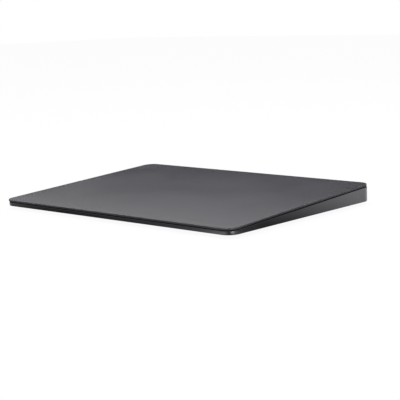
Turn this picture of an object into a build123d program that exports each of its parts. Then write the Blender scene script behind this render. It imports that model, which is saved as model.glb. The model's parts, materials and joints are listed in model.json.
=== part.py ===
from build123d import *
from math import atan2, cos, hypot, sin
import os

# A wireless trackpad: a glass touch plate floats on four sprung flexures above a wedge-shaped
# aluminium housing. A reluctance actuator under the plate shakes it along the slope, and the
# rear wall holds a charging receptacle and a power switch.
# Millimetres. X runs along the front edge, Y to the rear and Z up. The origin is on the desk,
# under the middle of the footprint. A place called v is measured up the slope from the middle
# of the glass, and a depth is measured square to the touch surface, down from it.

# Overall sizes
pad_width = 160.0
pad_depth = 114.9  # glass front edge to the outside of the rear wall
front_height = 4.9  # desk to the touch surface at its front edge
rear_height = 10.9  # desk to the touch surface at its rear edge
rear_lip = 0.5  # the rear wall stands this far behind the glass
corner_radius = 6.0  # of the glass, seen from above

# Travel of the moving pieces
press_travel = 0.2
shake_travel = 0.15  # each way, along the slope
switch_travel = 2.5

# Touch plate, from the surface down
glass_thickness = 1.0
glass_edge_break = 0.2
bond_thickness = 0.1
sensor_board_thickness = 0.5
sensor_board_inset = 2.5
stiffener_thickness = 0.4
stiffener_inset = 6.0
stiffener_corner = 2.5
stiffener_notch_margin = 1.5  # beyond the clamped bars of the flexures
stiffener_window_width = 21.0
stiffener_window_length = 9.0
stiffener_window_corner = 1.5
stiffener_window_gap = 4.0
stiffener_window_columns = 3
stiffener_window_rows = 2
stiffener_window_v = -27.0

# Controller chips and connector under the sensor board
controller_size = 6.0
controller_height = 0.6
controller_x = 49.0
controller_v = -14.0
window_margin = 1.2  # a chip or connector to the edge of its window
plate_connector_depth = 4.0
plate_connector_height = 0.7
plate_connector_setback = 6.5  # middle of the connector to the rear edge of the glass

# Housing
housing_front_inset = 0.3  # the front wall stands this far inside the glass
housing_side_inset = 0.15
glass_gap = 0.4  # glass underside to the top of the walls
wall_edge_break = 0.1
bevel_angle = 30.0  # of the broken top edge, from the wall
front_wall = 1.6
side_wall = 1.6
rear_wall = 2.0
rim_clearance = 1.6  # desk to the underside of the rim
rim_round = 0.4
rim_width = 3.0
cover_recess = 0.4
floor_thickness = 0.6
cut_overrun = 1.0

# Base cover and feet
cover_thickness = 0.7
cover_clearance = 0.15
cover_edge_round = 0.25
seal_width = 2.4
foot_radius = 6.0
foot_recess = 0.2
foot_clearance = 0.1
foot_edge_round = 0.35
foot_side_inset = 15.0  # side of the glass to the foot's centre
foot_end_inset = 14.5  # front or rear of the footprint to the foot's centre

# Flexures: a clamped bar, a tapered beam and a round tip under each corner of the plate
flexure_thickness = 0.5
flexure_front_inset = 21.3  # front edge of the glass to the flexure's middle
flexure_rear_inset = 17.3
flexure_side_inset = 9.0  # side of the glass to the middle of the bar
flexure_bar_width = 8.0
flexure_bar_length = 13.0
flexure_bar_corner = 1.0
flexure_reach = 20.0  # middle of the bar to the middle of the tip
flexure_root_width = 8.0
flexure_beam_width = 6.0
flexure_tip_radius = 4.6
flexure_screw_pitch = 8.0
flexure_pad_margin = 0.5
flexure_relief = 0.6  # round the moving end
gel_pad_radius = 3.5
gel_pad_thickness = 0.5
gauge_length = 5.0
gauge_width = 3.6
gauge_thickness = 0.1
gauge_reach = 11.0  # middle of the bar to the middle of the gauge

# Screws
screw_radius = 0.8
screw_length = 1.2
screw_head_radius = 1.5
screw_head_height = 0.45
screw_drive_radius = 0.65
small_screw_radius = 0.6
small_screw_length = 1.7
small_screw_head_radius = 1.15
small_screw_head_height = 0.4
small_screw_drive_radius = 0.5
screw_drive_depth = 0.25
screw_drive_sides = 6
thread_clearance = 0.05
thread_depth = 1.4

# Reluctance actuator
haptic_v = 2.0  # middle of the teeth
core_depth = 2.85  # touch surface to the top of the core
tooth_count = 4
tooth_pitch = 11.0
tooth_width = 6.0
tooth_length = 6.0
tooth_thickness = 1.0
spine_thickness = 1.45
spine_width = 3.0
coil_side = 1.3
coil_top = 0.35
coil_length = 5.0
coil_clearance = 0.05
coil_corner = 0.6
bracket_thickness = 0.4
bracket_length = 66.0
bracket_width = 8.6
bracket_corner = 1.5
bracket_screw_inset = 3.5
bracket_pad_length = 6.6
closed_gap = 0.25  # tooth ends to the armature at the end of its travel
armature_length = 46.0
armature_thickness = 1.0
armature_height = 2.0
armature_flange = 6.0
armature_flange_thickness = 0.4

# Battery
battery_height = 3.3
battery_round = 1.1
battery_rear_gap = 13.45  # to the inside of the rear wall
battery_front_gap = 1.75  # to the flange of the armature
battery_strip_thickness = 0.15
battery_strip_width = 5.0
battery_strip_inset = 6.0
terrace_length = 4.5
terrace_height = 0.8
cell_board_height = 0.8
cell_board_width = 3.4
cell_board_inset = 3.5  # ends of the battery's terrace to the board on it
fence_height = 1.4
fence_thickness = 0.8
fence_clearance = 0.4
fence_opening = 12.0  # left open at each corner of the fence

# Main board, from the left flexures' pads to the receptacle's shelf
board_thickness = 0.8
board_lift = 1.0
board_depth = 9.4
board_left_gap = 12.25  # to the inside of the side wall
board_right_gap = 1.0  # to the shelf
board_rear_gap = 0.85  # to the inside of the rear wall
board_corner = 0.8
standoff_radius = 2.0
board_screw_inset = 2.5  # rear edge of the board to its screws
processor_depth = 6.6
processor_height = 0.9
converter_depth = 3.0
converter_height = 0.8
shield_depth = 7.4
shield_height = 1.5
shield_wall = 0.2
shield_corner = 0.5
passive_length = 1.0
passive_width = 0.5
passive_height = 0.45
passive_count = 5
antenna_width = 2.5
antenna_thickness = 0.2
antenna_height = 2.0
antenna_foot = 0.8
connector_height = 0.8
connector_depth = 1.6
connector_inset = 0.4  # to the front edge of the board
connector_gap = 0.5

# Places on the main board, from its left edge, as shares of its length
first_screw_share = 0.209
second_screw_share = 0.676
processor_share = 0.578
converter_share = 0.68
shield_share = 0.822
passive_share = 0.32
antenna_share = 0.091
gauge_connector_share = 0.029
haptic_connector_share = 0.073
battery_connector_share = 0.241
rear_gauge_connector_share = 0.32
sensor_connector_share = 0.436
right_connector_share = 0.96

# Lengths on the main board, as shares of its own
processor_length_share = 0.12
converter_length_share = 0.0545
shield_length_share = 0.189
passive_pitch_share = 0.0236
antenna_length_share = 0.127
connector_length_share = 0.04
plate_connector_length_share = 0.091

# Flat cables
cable_thickness = 0.12
cable_width = 1.6
cable_lift = 0.1  # under an end that lands on a sloping face
cable_bend = 0.3
cable_landing = 1.5  # on what a raised end lands on
cable_ramp = 1.3
front_cable_gap = 1.6  # front flexures to the cable that joins their gauges
battery_cable_width = 2.0
sensor_cable_margin = 0.4  # side of the cable to the end of its connector
sensor_loop_reach = 4.6
sensor_loop_share = 0.45  # bend radius of the loop in its height

# Charging receptacle
port_inner_width = 8.34
port_inner_height = 2.56
port_wall = 0.3
port_length = 7.3
port_mouth_recess = 0.3
port_clearance = 0.18
opening_edge_break = 0.15
port_tongue_width = 6.69
port_tongue_height = 0.7
port_tongue_length = 4.45
port_block_length = 1.9
port_tail_length = 2.0
port_tail_width = 6.6
port_tail_height = 0.6
contact_count = 12
contact_pitch = 0.5
contact_width = 0.25
contact_length = 3.2
contact_thickness = 0.05
contact_inset = 0.5
shelf_height = 1.2
shelf_depth = 6.5
shelf_length = 20.0
strap_thickness = 0.4
strap_depth = 3.0
strap_clearance = 0.05
strap_ear = 4.0
strap_front_gap = 2.6  # front of the shelf to the strap

# Power switch
switch_offset = 40.0  # to the right of the charging receptacle
switch_body_width = 8.4
switch_body_depth = 3.6
switch_body_corner = 0.4
knob_width = 5.0
knob_height = 2.0
knob_recess = 0.3
knob_round = 0.35
knob_clearance = 0.15
knob_flange_height = 2.9
knob_flange_thickness = 0.45
knob_flange_margin = 0.6
knob_groove_count = 3
knob_groove_pitch = 1.2
knob_groove_width = 0.4
knob_groove_depth = 0.2
stem_width = 1.6
stem_height = 1.2
stem_engagement = 0.5

# The slope of the touch surface, and the depths and heights that follow from it
rise = rear_height - front_height
glass_depth = pad_depth - rear_lip
glass_length = hypot(glass_depth, rise)
slope = atan2(rise, glass_depth)
glass_mid_y = -rear_lip / 2
glass_mid_z = (front_height + rear_height) / 2
surface = Plane(
    origin=(0, glass_mid_y, glass_mid_z), x_dir=(1, 0, 0), z_dir=(0, -sin(slope), cos(slope))
)
out_of_surface = Axis(surface.origin, surface.z_dir)
bond_under = glass_thickness + bond_thickness
sensor_board_under = bond_under + sensor_board_thickness
stiffener_under = sensor_board_under + stiffener_thickness
flexure_top = stiffener_under + gel_pad_thickness
flexure_under = flexure_top + flexure_thickness
wall_top = glass_thickness + glass_gap
spine_under = core_depth + spine_thickness
bracket_under = spine_under + bracket_thickness
floor_under_z = rim_clearance + cover_recess
floor_z = floor_under_z + floor_thickness
cable_z = floor_z + cable_thickness / 2
board_z = floor_z + board_lift
board_top_z = board_z + board_thickness
connector_top_z = board_top_z + connector_height
landing_z = connector_top_z + cable_thickness / 2
shelf_z = floor_z + shelf_height
port_width = port_inner_width + 2 * port_wall
port_height = port_inner_height + 2 * port_wall
port_z = shelf_z + port_height / 2

# The housing's outline and what lies inside its walls
housing_width = pad_width - 2 * housing_side_inset
housing_front_y = housing_front_inset - pad_depth / 2
housing_rear_y = pad_depth / 2
housing_depth = housing_rear_y - housing_front_y
housing_mid_y = (housing_front_y + housing_rear_y) / 2
housing_corner = corner_radius - housing_side_inset
pocket_front_y = housing_front_y + front_wall
pocket_rear_y = housing_rear_y - rear_wall
pocket_width = housing_width - 2 * side_wall
pocket_depth = pocket_rear_y - pocket_front_y
pocket_mid_y = (pocket_front_y + pocket_rear_y) / 2
pocket_corner = housing_corner - side_wall
recess_width = housing_width - 2 * rim_width
recess_depth = housing_depth - 2 * rim_width
recess_corner = housing_corner - rim_width

# Places of the pieces on the base
hands = {"left": -1, "right": 1}
flexure_rows = {
    "front": flexure_front_inset - glass_length / 2,
    "rear": glass_length / 2 - flexure_rear_inset,
}
flexure_bar_x = pad_width / 2 - flexure_side_inset
flexure_tip_x = flexure_bar_x - flexure_reach
gauge_x = flexure_bar_x - gauge_reach
tooth_root_v = haptic_v - tooth_length / 2
armature_v = haptic_v + tooth_length / 2 + shake_travel + closed_gap
bracket_v = tooth_root_v - spine_width + bracket_width / 2
bracket_end_x = bracket_length / 2
bracket_screw_x = bracket_end_x - bracket_screw_inset
board_left_x = board_left_gap - pocket_width / 2
board_right_x = -shelf_length / 2 - board_right_gap
board_length = board_right_x - board_left_x
board_rear_y = pocket_rear_y - board_rear_gap
board_front_y = board_rear_y - board_depth
board_mid_y = (board_front_y + board_rear_y) / 2
board_screw_y = board_rear_y - board_screw_inset
connector_length = connector_length_share * board_length
connector_y = board_front_y + connector_inset + connector_depth / 2
port_connector_y = connector_y + connector_depth + connector_gap
gauge_cable_x = board_left_x + gauge_connector_share * board_length
haptic_cable_x = board_left_x + haptic_connector_share * board_length
battery_cable_x = board_left_x + battery_connector_share * board_length
rear_gauge_cable_x = board_left_x + rear_gauge_connector_share * board_length
sensor_cable_x = board_left_x + sensor_connector_share * board_length
right_connector_x = board_left_x + right_connector_share * board_length
battery_left_x = battery_cable_x - terrace_length / 2
battery_length = -2 * battery_left_x
battery_rear_y = pocket_rear_y - battery_rear_gap
battery_z = floor_z + battery_strip_thickness
cell_board_z = battery_z + terrace_height
fence_rear_y = battery_rear_y + fence_clearance + fence_thickness
shelf_front_y = pocket_rear_y - shelf_depth
strap_y = shelf_front_y + strap_front_gap + strap_depth / 2
flange_rear_y = pocket_rear_y - knob_clearance
flange_front_y = flange_rear_y - knob_flange_thickness
switch_rear_y = flange_front_y - knob_clearance
switch_front_y = switch_rear_y - switch_body_depth
knob_x = switch_offset - switch_travel / 2
port_mouth_y = housing_rear_y - port_mouth_recess
port_front_y = port_mouth_y - port_length


def y_at(v, depth):
    """Y of a place on the slope at a depth under the touch surface."""
    return glass_mid_y + v * cos(slope) + depth * sin(slope)


def height_at(y, depth):
    """Height above the desk, at a given Y, of the plane at a depth under the touch surface."""
    return glass_mid_z + ((y - glass_mid_y) * sin(slope) - depth) / cos(slope)


def v_at(y, depth):
    """Place on the slope, at a depth under the touch surface, of a given Y."""
    return (y - glass_mid_y - depth * sin(slope)) / cos(slope)


def under_surface(depth):
    """The plane parallel to the touch surface at a depth under it."""
    return surface.offset(-depth)


def by_flexures(x):
    """Four places on the slope, one by each flexure, at a distance to each side."""
    return [(side * x, mid_v) for mid_v in flexure_rows.values() for side in hands.values()]


def flexure_screw_places():
    """Places on the slope of the screws that clamp the flexures, two to a bar."""
    half = flexure_screw_pitch / 2
    return [(x, mid_v + step) for x, mid_v in by_flexures(flexure_bar_x) for step in (-half, half)]


def ear_screw_places(inner_width, mid_x):
    """Places, seen from above, of the two screws through a strap's ears."""
    reach = inner_width / 2 + strap_clearance + strap_thickness + strap_ear / 2
    return [(mid_x - reach, strap_y), (mid_x + reach, strap_y)]


def draw_beam_and_tip(x_side, mid_v, margin):
    """Draws the free end of a flexure, grown by a margin."""
    root = flexure_root_width / 2 + margin
    end = flexure_beam_width / 2 + margin
    bar_x = x_side * flexure_bar_x
    tip_x = x_side * flexure_tip_x
    Polygon((bar_x, mid_v - root), (bar_x, mid_v + root), (tip_x, mid_v + end), (tip_x, mid_v - end))
    with Locations((tip_x, mid_v)):
        Circle(flexure_tip_radius + margin)


def draw_pad_side(front_v, rear_v, depth):
    """Draws, seen from the side, a pad from the floor up to a plane under the touch surface."""
    front_y = y_at(front_v, depth)
    rear_y = y_at(rear_v, depth)
    Polygon(
        (front_y, floor_under_z),
        (rear_y, floor_under_z),
        (rear_y, height_at(rear_y, depth)),
        (front_y, height_at(front_y, depth)),
    )


def screw_group(seat, places, radius, length, head_radius, head_height, drive_radius):
    """Screws whose heads stand on a plane."""
    with BuildPart() as group:
        with BuildSketch(seat):
            with Locations(*places):
                Circle(radius)
        extrude(amount=-length)
        with BuildSketch(seat):
            with Locations(*places):
                Circle(head_radius)
        extrude(amount=head_height)
        with BuildSketch(seat.offset(head_height)):
            with Locations(*places):
                RegularPolygon(drive_radius, side_count=screw_drive_sides)
        extrude(amount=-screw_drive_depth, mode=Mode.SUBTRACT)
    return group.part


def cable_run(side_view, points, width):
    """A flat cable bent along the points of a side view."""
    with BuildPart() as run:
        with BuildSketch(side_view):
            with BuildLine():
                FilletPolyline(*points, radius=cable_bend)
            trace(line_width=cable_thickness)
        extrude(amount=width / 2, both=True)
    return run.part


def cable_strip(points, width):
    """A flat cable that lies on the floor along points seen from above."""
    with BuildPart() as strip:
        with BuildSketch(Plane.XY.offset(floor_z)):
            with BuildLine():
                Polyline(*points)
            trace(line_width=width)
        extrude(amount=cable_thickness)
    return strip.part


def ramp_to_board(cable_x, foot_y):
    """A flat cable that climbs from the floor onto a connector at the board's front edge."""
    points = [
        (foot_y - cable_landing, cable_z),
        (foot_y, cable_z),
        (board_front_y - connector_inset, landing_z),
        (connector_y + connector_depth / 2, landing_z),
    ]
    return cable_run(Plane.YZ.offset(cable_x), points, cable_width)


def strap_over(inner_width, mid_x):
    """A sheet strap over a box on a rear shelf, with two screwed ears."""
    leg = inner_width / 2 + strap_clearance + strap_thickness / 2
    ear_end = leg + strap_thickness / 2 + strap_ear
    ear_z = shelf_z + strap_thickness / 2
    crown_z = ear_z + port_height + strap_clearance
    with BuildPart() as strap:
        with BuildSketch(Plane.XZ.offset(-strap_y)):
            with BuildLine():
                Polyline(
                    (mid_x - ear_end, ear_z),
                    (mid_x - leg, ear_z),
                    (mid_x - leg, crown_z),
                    (mid_x + leg, crown_z),
                    (mid_x + leg, ear_z),
                    (mid_x + ear_end, ear_z),
                )
            trace(line_width=strap_thickness)
        extrude(amount=strap_depth / 2, both=True)
        with BuildSketch(Plane.XY.offset(shelf_z)):
            with Locations(*ear_screw_places(inner_width, mid_x)):
                Circle(small_screw_radius + thread_clearance)
        extrude(amount=strap_thickness, mode=Mode.SUBTRACT)
    return strap.part


battery_front_y = y_at(armature_v + armature_flange, stiffener_under) + battery_front_gap
battery_depth = battery_rear_y - battery_front_y
battery_mid_y = (battery_front_y + battery_rear_y) / 2

os.makedirs("parts", exist_ok=True)

# Glass plate with a broken edge all round
with BuildPart() as touch_glass:
    with BuildSketch(under_surface(glass_thickness)):
        RectangleRounded(pad_width, glass_length, corner_radius)
    extrude(amount=glass_thickness)
    chamfer(touch_glass.faces().sort_by(out_of_surface)[-1].edges(), glass_edge_break)
touch_glass.part.label = "touch_glass"
export_step(touch_glass.part, "parts/touch_glass.step")

# Bonding film between the glass and the sensor board
sensor_board_width = pad_width - 2 * sensor_board_inset
sensor_board_length = glass_length - 2 * sensor_board_inset
sensor_board_corner = corner_radius - sensor_board_inset
with BuildPart() as glass_adhesive:
    with BuildSketch(under_surface(bond_under)):
        RectangleRounded(sensor_board_width, sensor_board_length, sensor_board_corner)
    extrude(amount=bond_thickness)
glass_adhesive.part.label = "glass_adhesive"
export_step(glass_adhesive.part, "parts/glass_adhesive.step")

# Circuit board that senses the fingers
with BuildPart() as touch_sensor_board:
    with BuildSketch(under_surface(sensor_board_under)):
        RectangleRounded(sensor_board_width, sensor_board_length, sensor_board_corner)
    extrude(amount=sensor_board_thickness)
touch_sensor_board.part.label = "touch_sensor_board"
export_step(touch_sensor_board.part, "parts/touch_sensor_board.step")

# Sheet-steel stiffener, notched over the clamped bars and pierced over the chips
controller_places = [(-controller_x, controller_v), (controller_x, controller_v)]
plate_connector_v = glass_length / 2 - plate_connector_setback
plate_connector_length = plate_connector_length_share * board_length
sensor_connector_y = y_at(plate_connector_v, sensor_board_under)
with BuildPart() as plate_stiffener:
    with BuildSketch(under_surface(stiffener_under)):
        RectangleRounded(
            pad_width - 2 * stiffener_inset, glass_length - 2 * stiffener_inset, stiffener_corner
        )
        with Locations(*by_flexures(flexure_bar_x)):
            Rectangle(
                flexure_bar_width + 2 * stiffener_notch_margin,
                flexure_bar_length + 2 * stiffener_notch_margin,
                mode=Mode.SUBTRACT,
            )
        with Locations(*controller_places):
            Rectangle(
                controller_size + 2 * window_margin,
                controller_size + 2 * window_margin,
                mode=Mode.SUBTRACT,
            )
        with Locations((sensor_cable_x, plate_connector_v)):
            Rectangle(
                plate_connector_length + 2 * window_margin,
                plate_connector_depth + 2 * window_margin,
                mode=Mode.SUBTRACT,
            )
        with Locations((0, stiffener_window_v)):
            with GridLocations(
                stiffener_window_width + stiffener_window_gap,
                stiffener_window_length + stiffener_window_gap,
                stiffener_window_columns,
                stiffener_window_rows,
            ):
                RectangleRounded(
                    stiffener_window_width,
                    stiffener_window_length,
                    stiffener_window_corner,
                    mode=Mode.SUBTRACT,
                )
    extrude(amount=stiffener_thickness)
plate_stiffener.part.label = "plate_stiffener"
export_step(plate_stiffener.part, "parts/plate_stiffener.step")

# Touch controller chips in the stiffener's windows
with BuildPart() as touch_controller:
    with BuildSketch(under_surface(sensor_board_under)):
        with Locations(*controller_places):
            Rectangle(controller_size, controller_size)
    extrude(amount=-controller_height)
touch_controller.part.label = "touch_controller"
export_step(touch_controller.part, "parts/touch_controller.step")

# Connector under the sensor board
with BuildPart() as plate_connector:
    with BuildSketch(under_surface(sensor_board_under)):
        with Locations((sensor_cable_x, plate_connector_v)):
            Rectangle(plate_connector_length, plate_connector_depth)
    extrude(amount=-plate_connector_height)
plate_connector.part.label = "plate_connector"
export_step(plate_connector.part, "parts/plate_connector.step")

# Steel armature that the actuator pulls, an angle under the stiffener
slope_side_view = Plane(origin=surface.origin, x_dir=surface.y_dir, z_dir=(1, 0, 0))
with BuildPart() as armature_rail:
    with BuildSketch(slope_side_view):
        with BuildLine():
            Polyline(
                (armature_v, -stiffener_under),
                (armature_v + armature_flange, -stiffener_under),
                (armature_v + armature_flange, -stiffener_under - armature_flange_thickness),
                (armature_v + armature_thickness, -stiffener_under - armature_flange_thickness),
                (armature_v + armature_thickness, -stiffener_under - armature_height),
                (armature_v, -stiffener_under - armature_height),
                close=True,
            )
        make_face()
    extrude(amount=armature_length / 2, both=True)
armature_rail.part.label = "armature_rail"
export_step(armature_rail.part, "parts/armature_rail.step")

# Gel pads between the flexure tips and the stiffener
with BuildPart() as gel_pads:
    with BuildSketch(under_surface(flexure_top)):
        with Locations(*by_flexures(flexure_tip_x)):
            Circle(gel_pad_radius)
    extrude(amount=gel_pad_thickness)
gel_pads.part.label = "gel_pads"
export_step(gel_pads.part, "parts/gel_pads.step")

# Flexures, cut from spring steel sheet
for row, mid_v in flexure_rows.items():
    for hand, side in hands.items():
        with BuildPart() as flexure:
            with BuildSketch(under_surface(flexure_under)):
                with Locations((side * flexure_bar_x, mid_v)):
                    RectangleRounded(flexure_bar_width, flexure_bar_length, flexure_bar_corner)
                draw_beam_and_tip(side, mid_v, 0)
                with Locations((side * flexure_bar_x, mid_v)):
                    with GridLocations(flexure_bar_width, flexure_screw_pitch, 1, 2):
                        Circle(screw_radius + thread_clearance, mode=Mode.SUBTRACT)
            extrude(amount=flexure_thickness)
        flexure.part.label = f"flexure_{row}_{hand}"
        export_step(flexure.part, f"parts/flexure_{row}_{hand}.step")

# Strain gauges on the beams
with BuildPart() as strain_gauges:
    with BuildSketch(under_surface(flexure_top)):
        with Locations(*by_flexures(gauge_x)):
            Rectangle(gauge_length, gauge_width)
    extrude(amount=gauge_thickness)
strain_gauges.part.label = "strain_gauges"
export_step(strain_gauges.part, "parts/strain_gauges.step")

# Screws that clamp the flexures
flexure_screws = screw_group(
    under_surface(flexure_top),
    flexure_screw_places(),
    screw_radius,
    screw_length,
    screw_head_radius,
    screw_head_height,
    screw_drive_radius,
)
flexure_screws.label = "flexure_screws"
export_step(flexure_screws, "parts/flexure_screws.step")

# Laminated core: a spine with teeth that point to the rear
tooth_row_length = (tooth_count - 1) * tooth_pitch + tooth_width
with BuildPart() as haptic_core:
    with BuildSketch(under_surface(core_depth + tooth_thickness)):
        with Locations((0, haptic_v)):
            with GridLocations(tooth_pitch, tooth_length, tooth_count, 1):
                Rectangle(tooth_width, tooth_length)
    extrude(amount=tooth_thickness)
    with BuildSketch(under_surface(spine_under)):
        with Locations((0, tooth_root_v - spine_width / 2)):
            Rectangle(tooth_row_length + 2 * coil_side, spine_width)
    extrude(amount=spine_thickness)
haptic_core.part.label = "haptic_core"
export_step(haptic_core.part, "parts/haptic_core.step")

# Wound coils, one round each tooth
across_slope = Plane(
    origin=under_surface(core_depth + tooth_thickness / 2).origin,
    x_dir=(1, 0, 0),
    z_dir=surface.y_dir,
)
coil_window_width = tooth_width + 2 * coil_clearance
coil_window_height = tooth_thickness + 2 * coil_clearance
with BuildPart() as haptic_coils:
    with BuildSketch(across_slope.offset(tooth_root_v + coil_clearance)):
        with GridLocations(tooth_pitch, tooth_thickness, tooth_count, 1):
            RectangleRounded(
                coil_window_width + 2 * coil_side, coil_window_height + 2 * coil_top, coil_corner
            )
            Rectangle(coil_window_width, coil_window_height, mode=Mode.SUBTRACT)
    extrude(amount=coil_length)
haptic_coils.part.label = "haptic_coils"
export_step(haptic_coils.part, "parts/haptic_coils.step")

# Bracket that carries the core
bracket_screw_places = [(-bracket_screw_x, bracket_v), (bracket_screw_x, bracket_v)]
with BuildPart() as haptic_bracket:
    with BuildSketch(under_surface(bracket_under)):
        with Locations((0, bracket_v)):
            RectangleRounded(bracket_length, bracket_width, bracket_corner)
        with Locations(*bracket_screw_places):
            Circle(screw_radius + thread_clearance, mode=Mode.SUBTRACT)
    extrude(amount=bracket_thickness)
haptic_bracket.part.label = "haptic_bracket"
export_step(haptic_bracket.part, "parts/haptic_bracket.step")

# Screws of the bracket
haptic_screws = screw_group(
    under_surface(spine_under),
    bracket_screw_places,
    screw_radius,
    screw_length,
    screw_head_radius,
    screw_head_height,
    screw_drive_radius,
)
haptic_screws.label = "haptic_screws"
export_step(haptic_screws, "parts/haptic_screws.step")

# Housing: a tray whose walls end under the sloping glass
board_screw_places = [
    (board_left_x + first_screw_share * board_length, board_screw_y),
    (board_left_x + second_screw_share * board_length, board_screw_y),
]
strap_screw_places = ear_screw_places(port_width, 0) + ear_screw_places(switch_body_width, switch_offset)
with BuildPart() as housing:
    with BuildSketch(Plane.XY.offset(rim_clearance)):
        with Locations((0, housing_mid_y)):
            RectangleRounded(housing_width, housing_depth, housing_corner)
    extrude(amount=rear_height)
    fillet(housing.faces().sort_by(Axis.Z)[0].edges(), rim_round)
    # The walls end in a plane under the glass, with a bevel that widens towards the rear
    top_front_v = v_at(housing_front_y + wall_edge_break, wall_top)
    top_rear_v = glass_length / 2
    with BuildSketch(under_surface(wall_top)):
        with Locations((0, (top_front_v + top_rear_v) / 2)):
            RectangleRounded(
                housing_width - 2 * wall_edge_break,
                top_rear_v - top_front_v,
                housing_corner - wall_edge_break,
            )
    extrude(amount=-rear_height, taper=-bevel_angle, mode=Mode.INTERSECT)
    with BuildSketch(Plane.XY.offset(floor_z)):
        with Locations((0, pocket_mid_y)):
            RectangleRounded(pocket_width, pocket_depth, pocket_corner)
    extrude(amount=rear_height, mode=Mode.SUBTRACT)
    # Clamping pads of the flexures, joined to the side walls
    pad_half = flexure_bar_length / 2 + flexure_pad_margin
    pad_inner_x = flexure_bar_x - flexure_bar_width / 2
    for mid_v in flexure_rows.values():
        for side in hands.values():
            with BuildSketch(Plane.YZ.offset(side * pad_inner_x)):
                draw_pad_side(mid_v - pad_half, mid_v + pad_half, flexure_under)
            extrude(amount=side * (pocket_width / 2 + side_wall / 2 - pad_inner_x))
    # Pads of the actuator's bracket
    for side in hands.values():
        with BuildSketch(Plane.YZ.offset(side * bracket_screw_x)):
            draw_pad_side(
                bracket_v - bracket_width / 2, bracket_v + bracket_width / 2, bracket_under
            )
        extrude(amount=bracket_pad_length / 2, both=True)
    # Low ribs round the battery, open at the corners
    rib_reach_x = battery_length / 2 + fence_clearance + fence_thickness / 2
    rib_reach_y = battery_depth / 2 + fence_clearance + fence_thickness / 2
    with BuildSketch(Plane.XY.offset(floor_z)):
        with Locations((0, battery_mid_y - rib_reach_y), (0, battery_mid_y + rib_reach_y)):
            Rectangle(battery_length - 2 * fence_opening, fence_thickness)
        with Locations((-rib_reach_x, battery_mid_y), (rib_reach_x, battery_mid_y)):
            Rectangle(fence_thickness, battery_depth - fence_opening)
    extrude(amount=fence_height)
    # Stand-offs of the main board, and shelves of the receptacle and the switch
    with BuildSketch(Plane.XY.offset(floor_z)):
        with Locations(*board_screw_places):
            Circle(standoff_radius)
    extrude(amount=board_lift)
    shelf_mid_y = (shelf_front_y + pocket_rear_y) / 2
    with BuildSketch(Plane.XY.offset(floor_z)):
        with Locations((0, shelf_mid_y), (switch_offset, shelf_mid_y)):
            Rectangle(shelf_length, shelf_depth)
    extrude(amount=shelf_height)
    # Recess for the base cover
    with BuildSketch(Plane.XY.offset(floor_under_z)):
        with Locations((0, housing_mid_y)):
            RectangleRounded(recess_width, recess_depth, recess_corner)
    extrude(amount=-cover_recess - cut_overrun, mode=Mode.SUBTRACT)
    # Room for the flexures' moving ends, and flat seats for their bars
    with BuildSketch(under_surface(flexure_under + press_travel + thread_clearance)):
        for mid_v in flexure_rows.values():
            for side in hands.values():
                draw_beam_and_tip(side, mid_v, flexure_relief)
        with Locations(*by_flexures(flexure_bar_x)):
            Rectangle(flexure_bar_width, flexure_bar_length, mode=Mode.SUBTRACT)
    extrude(amount=rear_height, mode=Mode.SUBTRACT)
    with BuildSketch(under_surface(flexure_under)):
        with Locations(*by_flexures(flexure_bar_x)):
            Rectangle(
                flexure_bar_width + 2 * flexure_pad_margin, flexure_bar_length + 2 * flexure_pad_margin
            )
    extrude(amount=rear_height, mode=Mode.SUBTRACT)
    # Tapped holes
    with BuildSketch(under_surface(flexure_under)):
        with Locations(*flexure_screw_places()):
            Circle(screw_radius + thread_clearance)
    extrude(amount=-thread_depth, mode=Mode.SUBTRACT)
    with BuildSketch(under_surface(bracket_under)):
        with Locations(*bracket_screw_places):
            Circle(screw_radius + thread_clearance)
    extrude(amount=-thread_depth, mode=Mode.SUBTRACT)
    with BuildSketch(Plane.XY.offset(board_z)):
        with Locations(*board_screw_places):
            Circle(small_screw_radius + thread_clearance)
    extrude(amount=-thread_depth, mode=Mode.SUBTRACT)
    with BuildSketch(Plane.XY.offset(shelf_z)):
        with Locations(*strap_screw_places):
            Circle(small_screw_radius + thread_clearance)
    extrude(amount=-thread_depth, mode=Mode.SUBTRACT)
    # Openings in the rear wall for the receptacle and the switch's knob
    with BuildSketch(Plane.XZ.offset(-housing_rear_y)):
        with Locations((0, port_z)):
            SlotOverall(port_width + 2 * port_clearance, port_height + 2 * port_clearance)
        with Locations((switch_offset, port_z)):
            RectangleRounded(
                knob_width + switch_travel + 2 * knob_clearance,
                knob_height + 2 * knob_clearance,
                knob_round + knob_clearance,
            )
    extrude(amount=rear_wall + knob_clearance, mode=Mode.SUBTRACT)
    chamfer(housing.faces().sort_by(Axis.Y)[-1].inner_wires().edges(), opening_edge_break)
housing.part.label = "housing"
export_step(housing.part, "parts/housing.step")

# Base cover in the housing's recess
cover_width = recess_width - 2 * cover_clearance
cover_depth = recess_depth - 2 * cover_clearance
cover_top_z = floor_under_z - bond_thickness
cover_z = cover_top_z - cover_thickness
foot_x = pad_width / 2 - foot_side_inset
foot_y = pad_depth / 2 - foot_end_inset
foot_places = {
    f"foot_{row}_{hand}": (side * foot_x, end * foot_y)
    for row, end in {"front": -1, "rear": 1}.items()
    for hand, side in hands.items()
}
with BuildPart() as base_cover:
    with BuildSketch(Plane.XY.offset(cover_z)):
        with Locations((0, housing_mid_y)):
            RectangleRounded(cover_width, cover_depth, recess_corner - cover_clearance)
    extrude(amount=cover_thickness)
    fillet(base_cover.faces().sort_by(Axis.Z)[0].edges(), cover_edge_round)
    with BuildSketch(Plane.XY.offset(cover_z)):
        with Locations(*foot_places.values()):
            Circle(foot_radius + foot_clearance)
    extrude(amount=foot_recess, mode=Mode.SUBTRACT)
base_cover.part.label = "base_cover"
export_step(base_cover.part, "parts/base_cover.step")

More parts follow.
